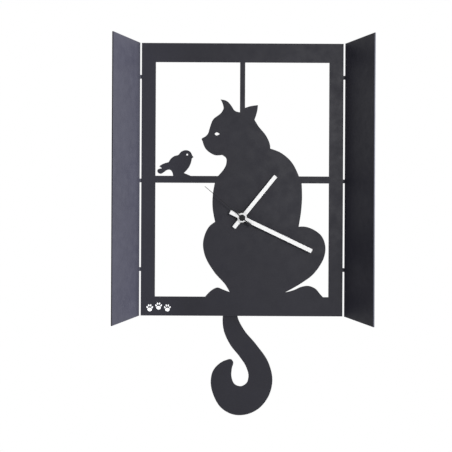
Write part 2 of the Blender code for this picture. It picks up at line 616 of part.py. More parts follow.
def clamp_pieces(rubber, brass, blackened):
    flange = BUSH_FLANGE
    profile = [(BUSH_BORE, BUSH_END), (BUSH_RADIUS, BUSH_END), (BUSH_RADIUS, flange["front"]),
               (flange["radius"], flange["front"]), (flange["radius"], flange["back"]),
               (BUSH_BORE, flange["back"])]
    turned("threaded_bush", profile, look=brass, sides=32)
    half = GASKET_HALF_WIDTH
    gasket = rounded_box(-half, half, -half, half, CORNER_RADIUS)
    plate("rubber_gasket", [gasket, circle((0, 0), PANEL_HOLE)], PANEL_BACK + GAP, CASE_FRONT - GAP, rubber)
    washer_back = PANEL_FRONT - GAP
    washer_front = washer_back - WASHER_THICKNESS
    ring("clamp_washer", (0, 0), PANEL_HOLE, WASHER_RADIUS, washer_front, washer_back, blackened, 32)
    hexagon = circle((0, 0), NUT_ACROSS_FLATS / math.sqrt(3), 6)
    nut_back = washer_front - GAP
    plate("hex_nut", [hexagon, circle((0, 0), PANEL_HOLE)], nut_back - NUT_THICKNESS, nut_back, blackened)


# Electrics

def battery_pieces(cell_look, metal):
    half = CELL_HALF_LENGTH
    button = half + CELL_BUTTON_LENGTH
    line = [(0, -half), (CELL_RADIUS, -half), (CELL_RADIUS, half), (CELL_BUTTON_RADIUS, half),
            (CELL_BUTTON_RADIUS, button), (0, button)]
    lying_cylinder("battery", line, CELL_CENTRE, cell_look)
    y, z = [(middle - CONTACT_HALF_WIDTH, middle + CONTACT_HALF_WIDTH) for middle in CELL_CENTRE]
    block("battery_contact_negative", (-half - GAP - CONTACT_THICKNESS, -half - GAP), y, z, metal)
    block("battery_contact_positive", (button + GAP, button + GAP + CONTACT_THICKNESS), y, z, metal)


def electronics(board_look, chip_look, metal):
    block("circuit_board", BOARD_X, BOARD_LAYER, BOARD_Z, board_look)
    front = BOARD_LAYER[0] - GAP
    rod("clock_chip", CHIP_PLACE, CHIP_RADIUS, front - CHIP_THICKNESS, front, chip_look)
    start, end = CRYSTAL_X
    line = [(0, start), (CRYSTAL_RADIUS, start), (CRYSTAL_RADIUS, end), (0, end)]
    lying_cylinder("quartz_crystal", line, (front - CRYSTAL_RADIUS, CRYSTAL_Z), metal, 12)


def motor(steel, plastic, copper, rotor_place):
    wide, inside = STATOR_HALF_WIDTH, STATOR_LEG_INSIDE
    right = [(wide, STATOR_BOTTOM), (wide, STATOR_TOP), (inside, STATOR_TOP), (inside, STATOR_BRIDGE)]
    outline = right + [(-x, z) for x, z in reversed(right)]
    plate("stator_plate", [outline, circle(rotor_place, ROTOR_WINDOW_RADIUS)], *STATOR_LAYER, steel)
    block("coil_core", (-wide, wide), CORE_LAYER, CORE_Z, steel)

    core_y, core_z = sum(CORE_LAYER) / 2, sum(CORE_Z) / 2

    def sleeve(name, x, halves, look=None):
        """A block about the core, as tall along Y and Z as the two half heights say."""
        return block(name, x, (core_y - halves[0], core_y + halves[0]),
                     (core_z - halves[1], core_z + halves[1]), look)

    end = BOBBIN_HALF_LENGTH
    bobbin = sleeve("coil_bobbin", (-end, end), BOBBIN_TUBE, plastic)
    join(bobbin, sleeve("bobbin_flange_left", (-end, FLANGE_THICKNESS - end), BOBBIN_FLANGE),
         sleeve("bobbin_flange_right", (end - FLANGE_THICKNESS, end), BOBBIN_FLANGE))
    core_halves = ((CORE_LAYER[1] - CORE_LAYER[0]) / 2, (CORE_Z[1] - CORE_Z[0]) / 2)
    beyond = end + OVERSHOOT
    cut(bobbin, sleeve("bobbin_hole", (-beyond, beyond), [half + GAP for half in core_halves]))
    wound = end - FLANGE_THICKNESS - GAP
    wire = sleeve("coil_winding", (-wound, wound), WINDING, copper)
    cut(wire, sleeve("winding_hole", (-beyond, beyond), [half + GAP for half in BOBBIN_TUBE]))


def train_plate(look, places):
    """The plate that carries the wheels' back pivots in front and front pivots behind."""
    outline = rounded_box(-PLATE_HALF_WIDTH, PLATE_HALF_WIDTH, PLATE_BOTTOM, PLATE_TOP, 2)
    holes = [circle((0, 0), SECOND_ARBOR + 0.5, 16), circle(places["knob"], KNOB_SHAFT_RADIUS + 0.5, 16)]
    for name in ("third", "intermediate", "rotor"):
        holes.append(circle(places[name], PIVOT_RADIUS + 0.25, 16))
    plate("train_plate", [outline] + holes, *PLATE_LAYER, look)


# Wheels and hands

def wheel_with_pinion(name, place, wheel, pinion, arbor, look):
    """wheel and pinion are (teeth, module, turn, layer); arbor is (radius, front, back)."""
    origin = (place[0], 0, place[1])
    obj = plate(name, [gear_outline(place, *wheel[:3])], *wheel[3], look, origin)
    small = plate(f"{name}_pinion", [gear_outline(place, *pinion[:3])], *pinion[3])
    join(obj, rod(f"{name}_arbor", place, *arbor, sides=12), small)
    return obj


def hub_and_blade(hand):
    """A straight hand pointing along +X: a hub disc, a blade and a tail."""
    half = hand["width"] / 2
    join_angle = math.asin(half / HUB_RADIUS)
    points = []
    steps = 8
    for step in range(steps + 1):
        angle = join_angle + (math.pi - 2 * join_angle) * step / steps
        points.append((HUB_RADIUS * math.cos(angle), HUB_RADIUS * math.sin(angle)))
    blade = [(hand["length"], half - HAND_CORNER), (hand["length"] - HAND_CORNER, half)]
    tail = [(-hand["tail"] + HAND_CORNER, half), (-hand["tail"], half - HAND_CORNER)]
    upper_side = blade + points + tail
    return upper_side + [(x, -z) for x, z in reversed(upper_side)]


def turned_to(points, clockwise_degrees):
    """Turns an outline that points along +X to an angle counted clockwise from twelve."""
    angle = math.radians(90 - clockwise_degrees)
    return [(x * math.cos(angle) - z * math.sin(angle), x * math.sin(angle) + z * math.cos(angle))
            for x, z in points]


def hour_and_minute_hands(look):
    hour_outline = turned_to(hub_and_blade(HOUR_HAND), HOUR_ANGLE)
    hour = plate("hour_hand", [hour_outline, circle((0, 0), HOUR_TUBE + GAP)], HOUR_HAND["front"],
                 HOUR_HAND["back"], look)
    minute_outline = turned_to(hub_and_blade(MINUTE_HAND), MINUTE_ANGLE)
    minute = plate("minute_hand", [minute_outline, circle((0, 0), MINUTE_TUBE + GAP)],
                   MINUTE_HAND["front"], MINUTE_HAND["back"], look)
    return hour, minute


def seconds_hand(look):
    """A thin hand with a broader tail that balances it, and the cap pressed on its hub."""
    front, back = SECOND_HAND["front"], SECOND_HAND["back"]
    half = SECOND_HAND["width"] / 2
    start, wide = SECOND_TAIL_START, SECOND_TAIL_HALF_WIDTH
    upper = [(SECOND_HAND["length"], half * 0.7), (0, half), (start + 1, half), (start, wide),
             (-SECOND_HAND["tail"], wide)]
    blade = upper + [(x, -z) for x, z in reversed(upper)]
    hand = plate("second_hand", [turned_to(blade, SECOND_ANGLE)], front, back, look)
    join(hand, rod("second_hub", (0, 0), SECOND_HUB_RADIUS, front - 0.01, back + SECOND_HUB_DEPTH))
    cut(hand, rod("second_bore", (0, 0), SECOND_ARBOR + GAP, front - OVERSHOOT, back + OVERSHOOT))
    base = front - GAP
    top = base - CAP_HEIGHT
    cap = turned("second_cap", [(0, top), (CAP_RADIUS - CAP_BEVEL, top), (CAP_RADIUS, top + CAP_BEVEL),
                                (CAP_RADIUS, base), (0, base)], look=look)
    return hand, cap


def going_train(places, plastic, magnet_look):
    """Rotor, intermediate, seconds, third and centre wheels, in mesh at rest."""
    seconds_turn = meshed_turn(0.0, INTERMEDIATE_PINION, SECONDS_TEETH, INTERMEDIATE_ANGLE + 180)
    seconds = wheel_with_pinion(
        "seconds_wheel", (0, 0),
        (SECONDS_TEETH, SECONDS_MODULE, seconds_turn, SECONDS_LAYER),
        (SECONDS_PINION, THIRD_MODULE, 0.0, THIRD_LAYER),
        (SECOND_ARBOR, SECOND_HAND["front"] + 0.1, SECONDS_PIVOT_BACK), plastic)
    third_turn = meshed_turn(0.0, SECONDS_PINION, THIRD_TEETH, THIRD_ANGLE)
    third = wheel_with_pinion(
        "third_wheel", places["third"],
        (THIRD_TEETH, THIRD_MODULE, third_turn, THIRD_LAYER),
        (THIRD_PINION, CENTRE_MODULE, 0.0, CENTRE_LAYER),
        (PIVOT_RADIUS, THIRD_PIVOT_FRONT, PLATE_LAYER[1] - 0.2), plastic)
    intermediate_turn = meshed_turn(0.0, ROTOR_TEETH, INTERMEDIATE_TEETH, ROTOR_ANGLE + 180)
    intermediate = wheel_with_pinion(
        "intermediate_wheel", places["intermediate"],
        (INTERMEDIATE_TEETH, ROTOR_MODULE, intermediate_turn, INTERMEDIATE_LAYER),
        (INTERMEDIATE_PINION, SECONDS_MODULE, 0.0, SECONDS_LAYER),
        (PIVOT_RADIUS, PLATE_LAYER[0] + 0.2, SECONDS_PIVOT_BACK), plastic)
    place = places["rotor"]
    origin = (place[0], 0, place[1])
    pinion = plate("rotor_pinion", [gear_outline(place, ROTOR_TEETH, ROTOR_MODULE, 0.0)],
                   *INTERMEDIATE_LAYER, plastic, origin)
    join(pinion, rod("rotor_arbor", place, PIVOT_RADIUS, PLATE_LAYER[0] + 0.2, ROTOR_PIVOT_BACK, sides=12))
    magnet = ring("rotor_magnet", place, PIVOT_RADIUS + GAP, ROTOR_MAGNET_RADIUS, *ROTOR_LAYER,
                  magnet_look, 24, origin)
    return seconds, third, intermediate, pinion, magnet


def motion_work(places, plastic, brass):
    """Centre wheel, cannon pinion with the minute tube, motion wheel, hour wheel and setting knob."""
    centre_turn = meshed_turn(0.0, THIRD_PINION, CENTRE_TEETH, THIRD_ANGLE + 180)
    centre_edge = gear_outline((0, 0), CENTRE_TEETH, CENTRE_MODULE, centre_turn)
    centre_bore = circle((0, 0), MINUTE_TUBE + GAP)
    centre = plate("centre_wheel", [centre_edge, centre_bore], *CENTRE_LAYER, plastic)
    cannon_turn = 0.0
    cannon_edge = gear_outline((0, 0), CANNON_TEETH, MOTION_MODULE, cannon_turn)
    bore_inside = (MINUTE_BORE + MINUTE_TUBE) / 2
    cannon = plate("cannon_pinion", [cannon_edge, circle((0, 0), bore_inside)], *MOTION_LAYER, brass)
    join(cannon, ring("minute_tube", (0, 0), MINUTE_BORE, MINUTE_TUBE, MINUTE_HAND["front"] - 0.4,
                      CENTRE_LAYER[1]))

    place = places["motion"]
    origin = (place[0], 0, place[1])
    motion_turn = meshed_turn(cannon_turn, CANNON_TEETH, MOTION_TEETH, MOTION_ANGLE)
    motion_edge = gear_outline(place, MOTION_TEETH, MOTION_MODULE, motion_turn)
    motion_bore = circle(place, MOTION_POST_RADIUS + GAP, 16)
    motion = plate("motion_wheel", [motion_edge, motion_bore], *MOTION_LAYER, plastic, origin)
    pinion_turn = 0.0
    pinion_edge = gear_outline(place, MOTION_PINION, HOUR_MODULE, pinion_turn)
    pinion = plate("motion_pinion", [pinion_edge, motion_bore], HOUR_LAYER[0], MOTION_LAYER[0] + 0.2)
    join(motion, pinion)

    hour_turn = meshed_turn(pinion_turn, MOTION_PINION, HOUR_TEETH, MOTION_ANGLE + 180)
    hour_edge = gear_outline((0, 0), HOUR_TEETH, HOUR_MODULE, hour_turn)
    hour_bore = circle((0, 0), (HOUR_BORE + HOUR_TUBE) / 2)
    hour = plate("hour_wheel", [hour_edge, hour_bore], *HOUR_LAYER, plastic)
    join(hour, ring("hour_tube", (0, 0), HOUR_BORE, HOUR_TUBE, HOUR_HAND["front"] - 0.7,
                    HOUR_LAYER[1] - 0.1))

    place = places["knob"]
    origin = (place[0], 0, place[1])
    knob_turn = meshed_turn(motion_turn, MOTION_TEETH, KNOB_TEETH, KNOB_ANGLE)
    knob_edge = gear_outline(place, KNOB_TEETH, MOTION_MODULE, knob_turn)
    knob = plate("setting_knob", [knob_edge], *MOTION_LAYER, plastic, origin)
    join(knob, rod("knob_shaft", place, KNOB_SHAFT_RADIUS, KNOB_SHAFT_FRONT, KNOB_GRIP_LAYER[0] + 0.4,
                   sides=16))
    grip = gear_outline(place, KNOB_GRIP_TEETH, KNOB_GRIP_MODULE, 0.0)
    join(knob, plate("knob_grip", [grip], *KNOB_GRIP_LAYER))
    return centre, cannon, motion, hour, knob


# Pendulum

def pendulum(plastic, magnet_look, tail_look):
    """The arm that swings on the pivot pin, its magnet, and the tail that hooks on the arm's peg."""
    pivot = (0, PIVOT_Z)
    origin = (0, (ARM_FRONT + ARM_BACK) / 2, PIVOT_Z)
    half = ARM_HALF_WIDTH
    right = [(half, PEG_Z - 3), (half, MAGNET_Z - 4), (ARM_BULGE, MAGNET_Z), (half, MAGNET_Z + 3),
             (half, PIVOT_Z)]
    arm_outline = right + [(-x, z) for x, z in reversed(right)]
    arm = plate("pendulum_arm", [arm_outline], ARM_FRONT, ARM_BACK, plastic, origin)
    join(arm, rod("arm_hub", pivot, ARM_HUB["radius"], ARM_HUB["front"], ARM_HUB["back"]))
    root = ARM_BACK - 0.4
    peg = [(0, PEG_FRONT), (PEG_HEAD_RADIUS, PEG_FRONT), (PEG_HEAD_RADIUS, PEG_SHOULDER),
           (PEG_RADIUS, PEG_SHOULDER), (PEG_RADIUS, root), (0, root)]
    join(arm, turned("arm_peg", peg, (0, PEG_Z), sides=16))
    cut(arm, rod("arm_bore", pivot, ARM_HUB["bore"], ARM_HUB["front"] - OVERSHOOT,
                 ARM_HUB["back"] + OVERSHOOT, sides=16))
    magnet = rod("pendulum_magnet", (0, MAGNET_Z), ARM_MAGNET_RADIUS, ARM_MAGNET_FRONT, ARM_FRONT - GAP,
                 magnet_look, 24, origin)
    hole = circle((0, PEG_Z), TAIL_HOLE)
    tail = plate("cat_tail", [smooth_outline(TAIL), hole], TAIL_FRONT, TAIL_FRONT + SHEET, tail_look, origin)
    return arm, magnet, tail


def pendulum_drive(plastic, steel, copper):
    """The fixed pin that the arm swings on, and the coil that drives its magnet."""
    rod("pendulum_pivot_pin", (0, PIVOT_Z), PIN_RADIUS, CASE_FLOOR + GAP, -CASE_WALL - GAP, steel, 16)
    coil = DRIVE_COIL
    front, back = coil["front"], coil["back"]
    inner_front, inner_back = front + coil["flange"], back - coil["flange"]
    profile = [(coil["bore"], front), (coil["radius"], front), (coil["radius"], inner_front),
               (coil["tube"], inner_front), (coil["tube"], inner_back), (coil["radius"], inner_back),
               (coil["radius"], back), (coil["bore"], back)]
    turned("drive_bobbin", profile, (0, MAGNET_Z), plastic)
    ring("drive_winding", (0, MAGNET_Z), coil["tube"] + GAP, coil["radius"] - 0.4, inner_front + GAP,
         inner_back - GAP, copper)


def build():
    clear_scene()
    sheet = material("powder_coated_steel", (0.045, 0.045, 0.052), 0.55)
    white = material("white_lacquer", (0.85, 0.85, 0.86), 0.35)
    black = material("black_plastic", (0.02, 0.02, 0.021), 0.5)
    pale = material("pale_plastic", (0.75, 0.73, 0.66), 0.45)
    steel = material("steel", (0.55, 0.55, 0.56), 0.3, 1.0)
    brass = material("brass", (0.72, 0.52, 0.22), 0.3, 1.0)
    blackened = material("black_oxide_steel", (0.035, 0.035, 0.037), 0.4, 1.0)
    copper = material("copper_wire", (0.65, 0.27, 0.12), 0.35, 1.0)
    rubber = material("rubber", (0.02, 0.02, 0.02), 0.8)
    board = material("board", (0.05, 0.2, 0.09), 0.5)
    cell = material("battery_jacket", (0.05, 0.12, 0.25), 0.35)
    magnet = material("magnet", (0.12, 0.12, 0.13), 0.4, 0.6)
    grey = material("dark_grey_lacquer", (0.06, 0.06, 0.065), 0.4)

    places = wheel_places()
    window_panel(sheet)
    for name, side in (("left_shutter", -1), ("right_shutter", 1)):
        shutter(name, side, sheet)
    front_case(black, places)
    rear_case(black, places)
    case_screws(steel)
    wall_hanger(steel)
    clamp_pieces(rubber, brass, blackened)
    battery_pieces(cell, steel)
    electronics(board, black, steel)
    motor(steel, pale, copper, places["rotor"])
    train_plate(pale, places)
    seconds, third, intermediate, rotor_pinion, rotor_magnet = going_train(places, pale, magnet)
    centre, cannon, motion, hour, knob = motion_work(places, pale, brass)
    hour_hand, minute_hand = hour_and_minute_hands(white)
    second_hand, second_cap = seconds_hand(grey)
    arm, arm_magnet, tail = pendulum(black, magnet, sheet)
    pendulum_drive(pale, steel, copper)

    carry("hour_axis", (0, 0, 0), [hour, hour_hand])
    carry("minute_axis", (0, 0, 0), [centre, cannon, minute_hand])
    carry("seconds_axis", (0, 0, 0), [seconds, second_hand, second_cap])
    for name, pieces in (("third", [third]), ("motion", [motion]), ("knob", [knob]),
                         ("intermediate", [intermediate]), ("rotor", [rotor_pinion, rotor_magnet])):
        carry(f"{name}_axis", (places[name][0], 0, places[name][1]), pieces)
    carry("pendulum_axis", (0, (ARM_FRONT + ARM_BACK) / 2, PIVOT_Z), [arm, arm_magnet, tail])


build()
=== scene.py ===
"""The looks of the cat tail clock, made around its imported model.

Lengths are in millimetres here, and become metres where a mesh is made. X runs to the right, Z up, and
the front looks along -Y. The wall is the plane Y = 0, and the hands turn about the axis X = Z = 0.
"""

import json
import math

import bmesh
import bpy
from mathutils import Matrix, Vector


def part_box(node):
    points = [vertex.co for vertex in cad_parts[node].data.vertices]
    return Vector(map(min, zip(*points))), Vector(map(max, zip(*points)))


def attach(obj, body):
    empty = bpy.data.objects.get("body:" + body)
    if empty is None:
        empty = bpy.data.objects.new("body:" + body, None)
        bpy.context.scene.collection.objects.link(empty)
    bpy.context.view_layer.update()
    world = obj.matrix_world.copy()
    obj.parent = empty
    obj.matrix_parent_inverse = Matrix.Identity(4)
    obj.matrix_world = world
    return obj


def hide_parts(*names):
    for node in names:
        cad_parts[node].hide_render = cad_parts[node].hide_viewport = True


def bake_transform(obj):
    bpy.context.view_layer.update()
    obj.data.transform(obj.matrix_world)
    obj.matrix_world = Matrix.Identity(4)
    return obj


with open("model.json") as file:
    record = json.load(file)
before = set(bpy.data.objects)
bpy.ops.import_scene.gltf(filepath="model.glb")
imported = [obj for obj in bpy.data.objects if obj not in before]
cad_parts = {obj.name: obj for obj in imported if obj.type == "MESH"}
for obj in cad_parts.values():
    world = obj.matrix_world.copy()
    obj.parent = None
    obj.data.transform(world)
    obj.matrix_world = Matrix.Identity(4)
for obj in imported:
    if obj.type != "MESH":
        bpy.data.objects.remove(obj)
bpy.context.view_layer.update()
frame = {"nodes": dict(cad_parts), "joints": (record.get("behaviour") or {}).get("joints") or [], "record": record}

MM = 0.001
SHARP = "sharp"  # marks an outline point where the curve has a corner
WEAR = "edge_wear"  # the mesh attribute that says how exposed a rounded edge is
ARC_STEPS = 3
SHARP_BEND = math.radians(38)


def span(node):
    """A CAD node's lowest and highest corner, in millimetres."""
    low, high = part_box(node)
    return low / MM, high / MM


def joint(name):
    return next(item for item in frame["joints"] if item["name"] == name)


# Window panel and shutters
PANEL_LOW, PANEL_HIGH = span("window_panel")
PANEL_FRONT, PANEL_BACK = PANEL_LOW.y, PANEL_HIGH.y
PANEL_MIDDLE = (PANEL_FRONT + PANEL_BACK) / 2
PANEL_BOTTOM, PANEL_TOP = PANEL_LOW.z, PANEL_HIGH.z
SHEET = PANEL_BACK - PANEL_FRONT
SHEET_EDGE = 0.16  # radius of a powder-coated edge
PANEL_HALF_WIDTH = 111.0
SIDE_BAR, END_BAR = 15.5, 21.0
LIGHT_HALF_WIDTH = PANEL_HALF_WIDTH - SIDE_BAR
LIGHT_BOTTOM, LIGHT_TOP = PANEL_BOTTOM + END_BAR, PANEL_TOP - END_BAR
MUNTIN_HALF = 2.8
CROSSBAR_BOTTOM, CROSSBAR_TOP = 37.7, 45.4
PANEL_HOLE = 4.3
SHUTTER_AXIS = joint("right_shutter_fold")["pos_m"][0] / MM
SHUTTER_FOLD = -math.radians(joint("right_shutter_fold")["range_deg"][0])
SHUTTER_WIDTH = 64.0
SLOT = 2 * (SHUTTER_AXIS - PANEL_HALF_WIDTH)
TAB_HEIGHT = 4.2
TAB_LEVELS = (154.2, 40.1, -57.4)
TAB_REACH = PANEL_HIGH.x - SHUTTER_AXIS  # negative: the panel's stub ends short of the bend line
TAB_SUNK = 0.5  # how far a bent tab runs on into the stubs at its two ends
TAB_SLACK = 0.015  # how far inside the stubs' faces a bent tab's faces lie
TAB_STEPS = 8
OUTLINE_SPACING = 1.0

# Movement
CASE_LOW, CASE_HIGH = span("front_case")
CASE_FRONT, CASE_FRONT_RIM = CASE_LOW.y, CASE_HIGH.y
CASE_REAR_RIM, CASE_BACK = span("rear_case")[0].y, span("rear_case")[1].y
CASE_WALL = 1.5
CASE_CORNER = 3.0
CASE_EDGE, CASE_LIP, CASE_HOLE_EDGE = 1.0, 0.2, 0.3
BURIED = 0.5  # how far a boss, post, rib or socket runs into the wall it stands on
BEYOND = 1.0  # how far a cutter runs past the face it cuts
BAY_BOTTOM, BAY_TOP, BAY_RIB = -31.4, -15.6, 1.2
BAY_WINDOW_HALF_WIDTH, BAY_WINDOW_MARGIN, BAY_WINDOW_CORNER = 25.5, 1.0, 0.8
NOTCH_HALF_WIDTH, NOTCH_FRONT, NOTCH_BACK = 8.0, -11.0, -5.5
KNOB_WINDOW_RADIUS = 6.0
POST_PLACES = [(x, z) for x in (-21.5, 21.5) for z in (-10.0, 17.0)]
POST_RADIUS, POST_BACK = 1.6, -12.2
MOTION_PIN_RADIUS, MOTION_PIN_BACK = 0.6, -14.7

# Case screws: the bosses of the front that they bite into, and the sleeves of the rear that they pass
SCREW_PLACES = [(x, z) for x in (-24.0, 24.0) for z in (-52.0, 28.0)]
SCREW_BORE = 1.3
BOSS_RADIUS, BOSS_FLOOR = 2.4, -16.5
SLEEVE_RADIUS, HEAD_WELL_RADIUS, HEAD_WELL_FLOOR, HEAD_HOLE_RADIUS = 2.9, 2.5, -1.6, 2.3
HEAD_HEIGHT = 1.1
HEAD_DOME = [(0, 0), (1.0, 0.05), (1.6, 0.25), (1.9, 0.55), (2.0, 0.8)]  # radius, depth under the top
THREAD_RADIUS, THREAD_ROOT, THREAD_PITCH = 1.0, 0.85, 0.8
PLAIN_SHANK, POINT_LENGTH, TIP_RADIUS, TIP_HEIGHT = 0.6, 1.0, 0.8, 0.4
RECESS_REACH, RECESS_HALF_WIDTH, RECESS_DEPTH = 1.15, 0.28, 0.75

# Blind bearings for the pivots: outer radius, bore radius, and the levels of the rim and the bottom
FRONT_SOCKETS = {"third": (1.5, 0.75, -16.6, -18.0), "knob": (2.0, 1.2, -16.4, -17.8)}
REAR_SOCKETS = {"seconds": (1.5, 0.75, -6.8, -4.4), "intermediate": (1.5, 0.75, -6.8, -4.4),
                "rotor": (1.5, 0.75, -3.4, -2.2)}

# Marks moulded in the back: X, or X and Z, from left to right and bottom to top
MARK_DEPTH, MARK_EDGE = 0.25, 0.05
PLUS_MARK, PLUS_REACH, PLUS_HALF_WIDTH = (21.0, -34.6), 1.7, 0.4
MINUS_MARK = (-22.7, -19.3, -35.0, -34.2)
LABEL_FIELD = (-24.0, 5.0, -4.0, 20.0)
ARROW_START, ARROW_END, ARROW_HEAD_SWEEP = 70, 200, 14
ARROW_INNER, ARROW_MIDDLE, ARROW_OUTER = 7.2, 7.6, 8.0
ARROW_HEAD_INNER, ARROW_HEAD_OUTER = 6.5, 8.9
DIMPLE_PLACES, DIMPLE_RADIUS, DIMPLE_DEPTH = [(-24.5, -12.0), (24.5, -12.0)], 1.2, 0.15

# Hanger strip, gasket, nut and threaded bush
HANGER_THICKNESS, HANGER_CORNER, HANGER_EDGE = 1.2, 5.0, 0.25
HANGER_EYE_HALF_WIDTH, HANGER_EYE_BOTTOM, HANGER_EYE_SHOULDER = 4.5, 3.0, 4.0
HANGER_UPRIGHT_START, HANGER_FOOT_END = 0.7, 2.2  # the two lap over each other at the bend
HANGER_BEND, HANGER_FILLET, HANGER_TUCK = 1.28, 0.4, 0.02
GASKET_CORNER = 3.0
NUT_CHAMFER, NUT_LEAD, NUT_LAND = 0.55, 0.2, 0.1
BUSH_RADIUS, BUSH_BORE, BUSH_LEAD, BUSH_PITCH, BUSH_TURNS = 4.0, 2.9, 0.35, 0.75, 7
BUSH_THREAD = [(0.02, 0), (0, 0.1), (0.3, 0.4), (0.3, 0.5)]  # depth, and how far along the turn
BUSH_SHOULDER, BUSH_FLANGE_FRONT, BUSH_FLANGE_RADIUS = -21.4, -18.2, 6.0

# Battery: the positive button, the crimp round it and the rounded shoulders
CELL_BUTTON, CELL_SHOULDER, CELL_CRIMP_DEPTH = 1.0, 0.8, 0.3
CELL_CRIMP_OUTER, CELL_CRIMP_INNER, CELL_BUTTON_RADIUS = 5.6, 2.9, 2.7
CELL_CRIMP_SLOPE, CELL_EASE = 0.4, 0.3
CELL_BASE_RADIUS, CELL_BASE_DEPTH = 4.4, 0.2
CELL_CAP_DEPTH = 0.45  # how much of each end is bare metal
JACKET_BAND = (14.0, 14.2)  # X where the pale band starts, over which it fades in
JACKET_LINE = ((-17.2, -17.0), (-16.2, -16.0))  # the same for both sides of the thin line

# Setting knob
KNOB_MODULE, KNOB_TEETH, KNOB_DEDENDUM, KNOB_ADDENDUM = 0.4, 12, 1.1, 0.8
KNOB_WHEEL_FRONT, KNOB_WHEEL_BACK = -15.8, -14.8
KNOB_SHAFT_RADIUS, KNOB_GRIP_DEPTH = 0.9, 1.1
KNOB_KNURLS, KNOB_GRIP_ROOT, KNOB_GRIP_TIP = 30, 4.7, 5.35
KNOB_SLOT_REACH, KNOB_SLOT_HALF_WIDTH, KNOB_SLOT_DEPTH, KNOB_SLOT_CORNER = 3.2, 0.45, 0.15, 0.4

# Hands: angles clockwise from twelve
HOUR_ANGLE, MINUTE_ANGLE, SECOND_ANGLE = 38.8, 115.4, 309.8
HOUR_HAND = {"node": "hour_hand", "length": 58.4, "tail": 14.3, "width": 4.3, "bore": 2.8}
MINUTE_HAND = {"node": "minute_hand", "length": 84.2, "tail": 14.5, "width": 4.5, "bore": 1.9}
HUB_RADIUS = 5.05
HAND_EDGE, HAND_EASE = 0.12, 0.35
NEEDLE = [  # half of the seconds hand: how far along it, and its half width
    (53.0, 0.28), (0, 0.5), (-7.0, 0.5), (-8.0, 1.15), (-13.6, 1.15), (-14.0, 0.8),
]
NEEDLE_THICKNESS, NEEDLE_EDGE = 0.39, 0.08
NEEDLE_ARBOR, NEEDLE_COLLAR = 0.8, 2.2
CAP_RIM, CAP_ROUNDING, CAP_ROUNDING_HEIGHT, CAP_CROWN = 0.45, 0.4, 0.35, 0.02

# Pendulum
PIVOT_Z = joint("pendulum_swing")["pos_m"][2] / MM
PEG_Z = -63.0
MAGNET_Z = -47.0
TAIL_HOLE = 2.1
ARM_FRONT, ARM_BACK = -8.9, -7.7
ARM_HALF_WIDTH, ARM_SHOULDER, ARM_FOOT = 2.5, 1.0, 1.2
ARM_BULGE, ARM_BULGE_HALF_HEIGHT, ARM_BULGE_ABOVE, ARM_BULGE_BELOW = 3.6, 1.2, 3.0, 4.0
ARM_HUB_RADIUS, ARM_HUB_BORE, ARM_HUB_FRONT, ARM_HUB_BACK, ARM_HUB_EDGE = 3.0, 1.3, -10.2, -6.4, 0.2
PEG_RADIUS, PEG_HEAD_RADIUS, PEG_FRONT, PEG_SHOULDER = 1.2, 1.7, -12.2, -11.3
PEG_ROOT, PEG_EDGE = 0.4, 0.2
SPINE_HALF_WIDTH, SPINE_ROOT, SPINE_HEIGHT, SPINE_BELOW, SPINE_ABOVE = 0.5, 0.3, 0.5, 2.0, 1.0

# The cat's outline in four stretches, each from the window's bars: X, Z
CAT_FACE = [
    (-2.8, 115.6, SHARP), (-8.3, 117.3), (-12.2, 122.7), (-17.0, 127.8), (-24.1, 129.7, SHARP),
    (-21.6, 124.2), (-20.9, 119.6), (-22.7, 116.0), (-32.4, 107.3), (-36.3, 97.0), (-37.9, 91.9),
    (-41.1, 88.6), (-44.8, 86.2), (-43.7, 83.2), (-42.4, 79.1), (-40.1, 75.0), (-35.4, 70.9),
    (-30.3, 68.4), (-22.4, 68.6, SHARP), (-17.5, 64.5), (-17.3, 61.4), (-26.6, CROSSBAR_TOP, SHARP),
]
CAT_CHEST = [
    (-30.1, CROSSBAR_BOTTOM, SHARP), (-32.2, 25.2), (-32.5, 12.0), (-29.6, -5.1, SHARP),
    (-35.5, -9.6), (-40.9, -19.5), (-42.8, -30.0), (-41.2, -40.3), (-30.5, -60.0), (-17.0, -75.6),
    (-13.2, -82.3, SHARP), (-20.5, -79.6), (-26.5, -77.4), (-33.4, -80.6), (-38.4, -85.5),
    (-40.1, LIGHT_BOTTOM, SHARP),
]
CAT_BACK = [
    (2.8, 120.5, SHARP), (8.7, 122.4), (17.0, 123.6, SHARP), (16.5, 118.6), (13.3, 107.5, SHARP),
    (16.9, 101.5), (26.8, 88.8), (30.4, 80.2), (30.8, 75.9, SHARP), (43.0, 71.0), (53.3, 62.3),
    (62.5, CROSSBAR_TOP, SHARP),
]
CAT_HAUNCH = [
    (65.5, CROSSBAR_BOTTOM, SHARP), (66.0, 20.3), (65.2, 8.3), (62.4, -10.0, SHARP), (69.2, -9.9),
    (79.2, -13.3), (88.1, -20.7), (92.0, -32.4), (90.6, -43.3), (85.6, -53.3), (77.2, -63.7),
    (67.2, -71.1), (47.5, -82.5, SHARP), (57.3, -79.9), (65.8, -76.2), (73.0, -75.1),
    (81.2, -78.1), (86.5, -84.1), (89.6, LIGHT_BOTTOM, SHARP),
]
CAT_EYE = [(-30.4, 91.8), (-29.0, 93.3), (-24.8, 91.7, SHARP), (-29.0, 90.2)]

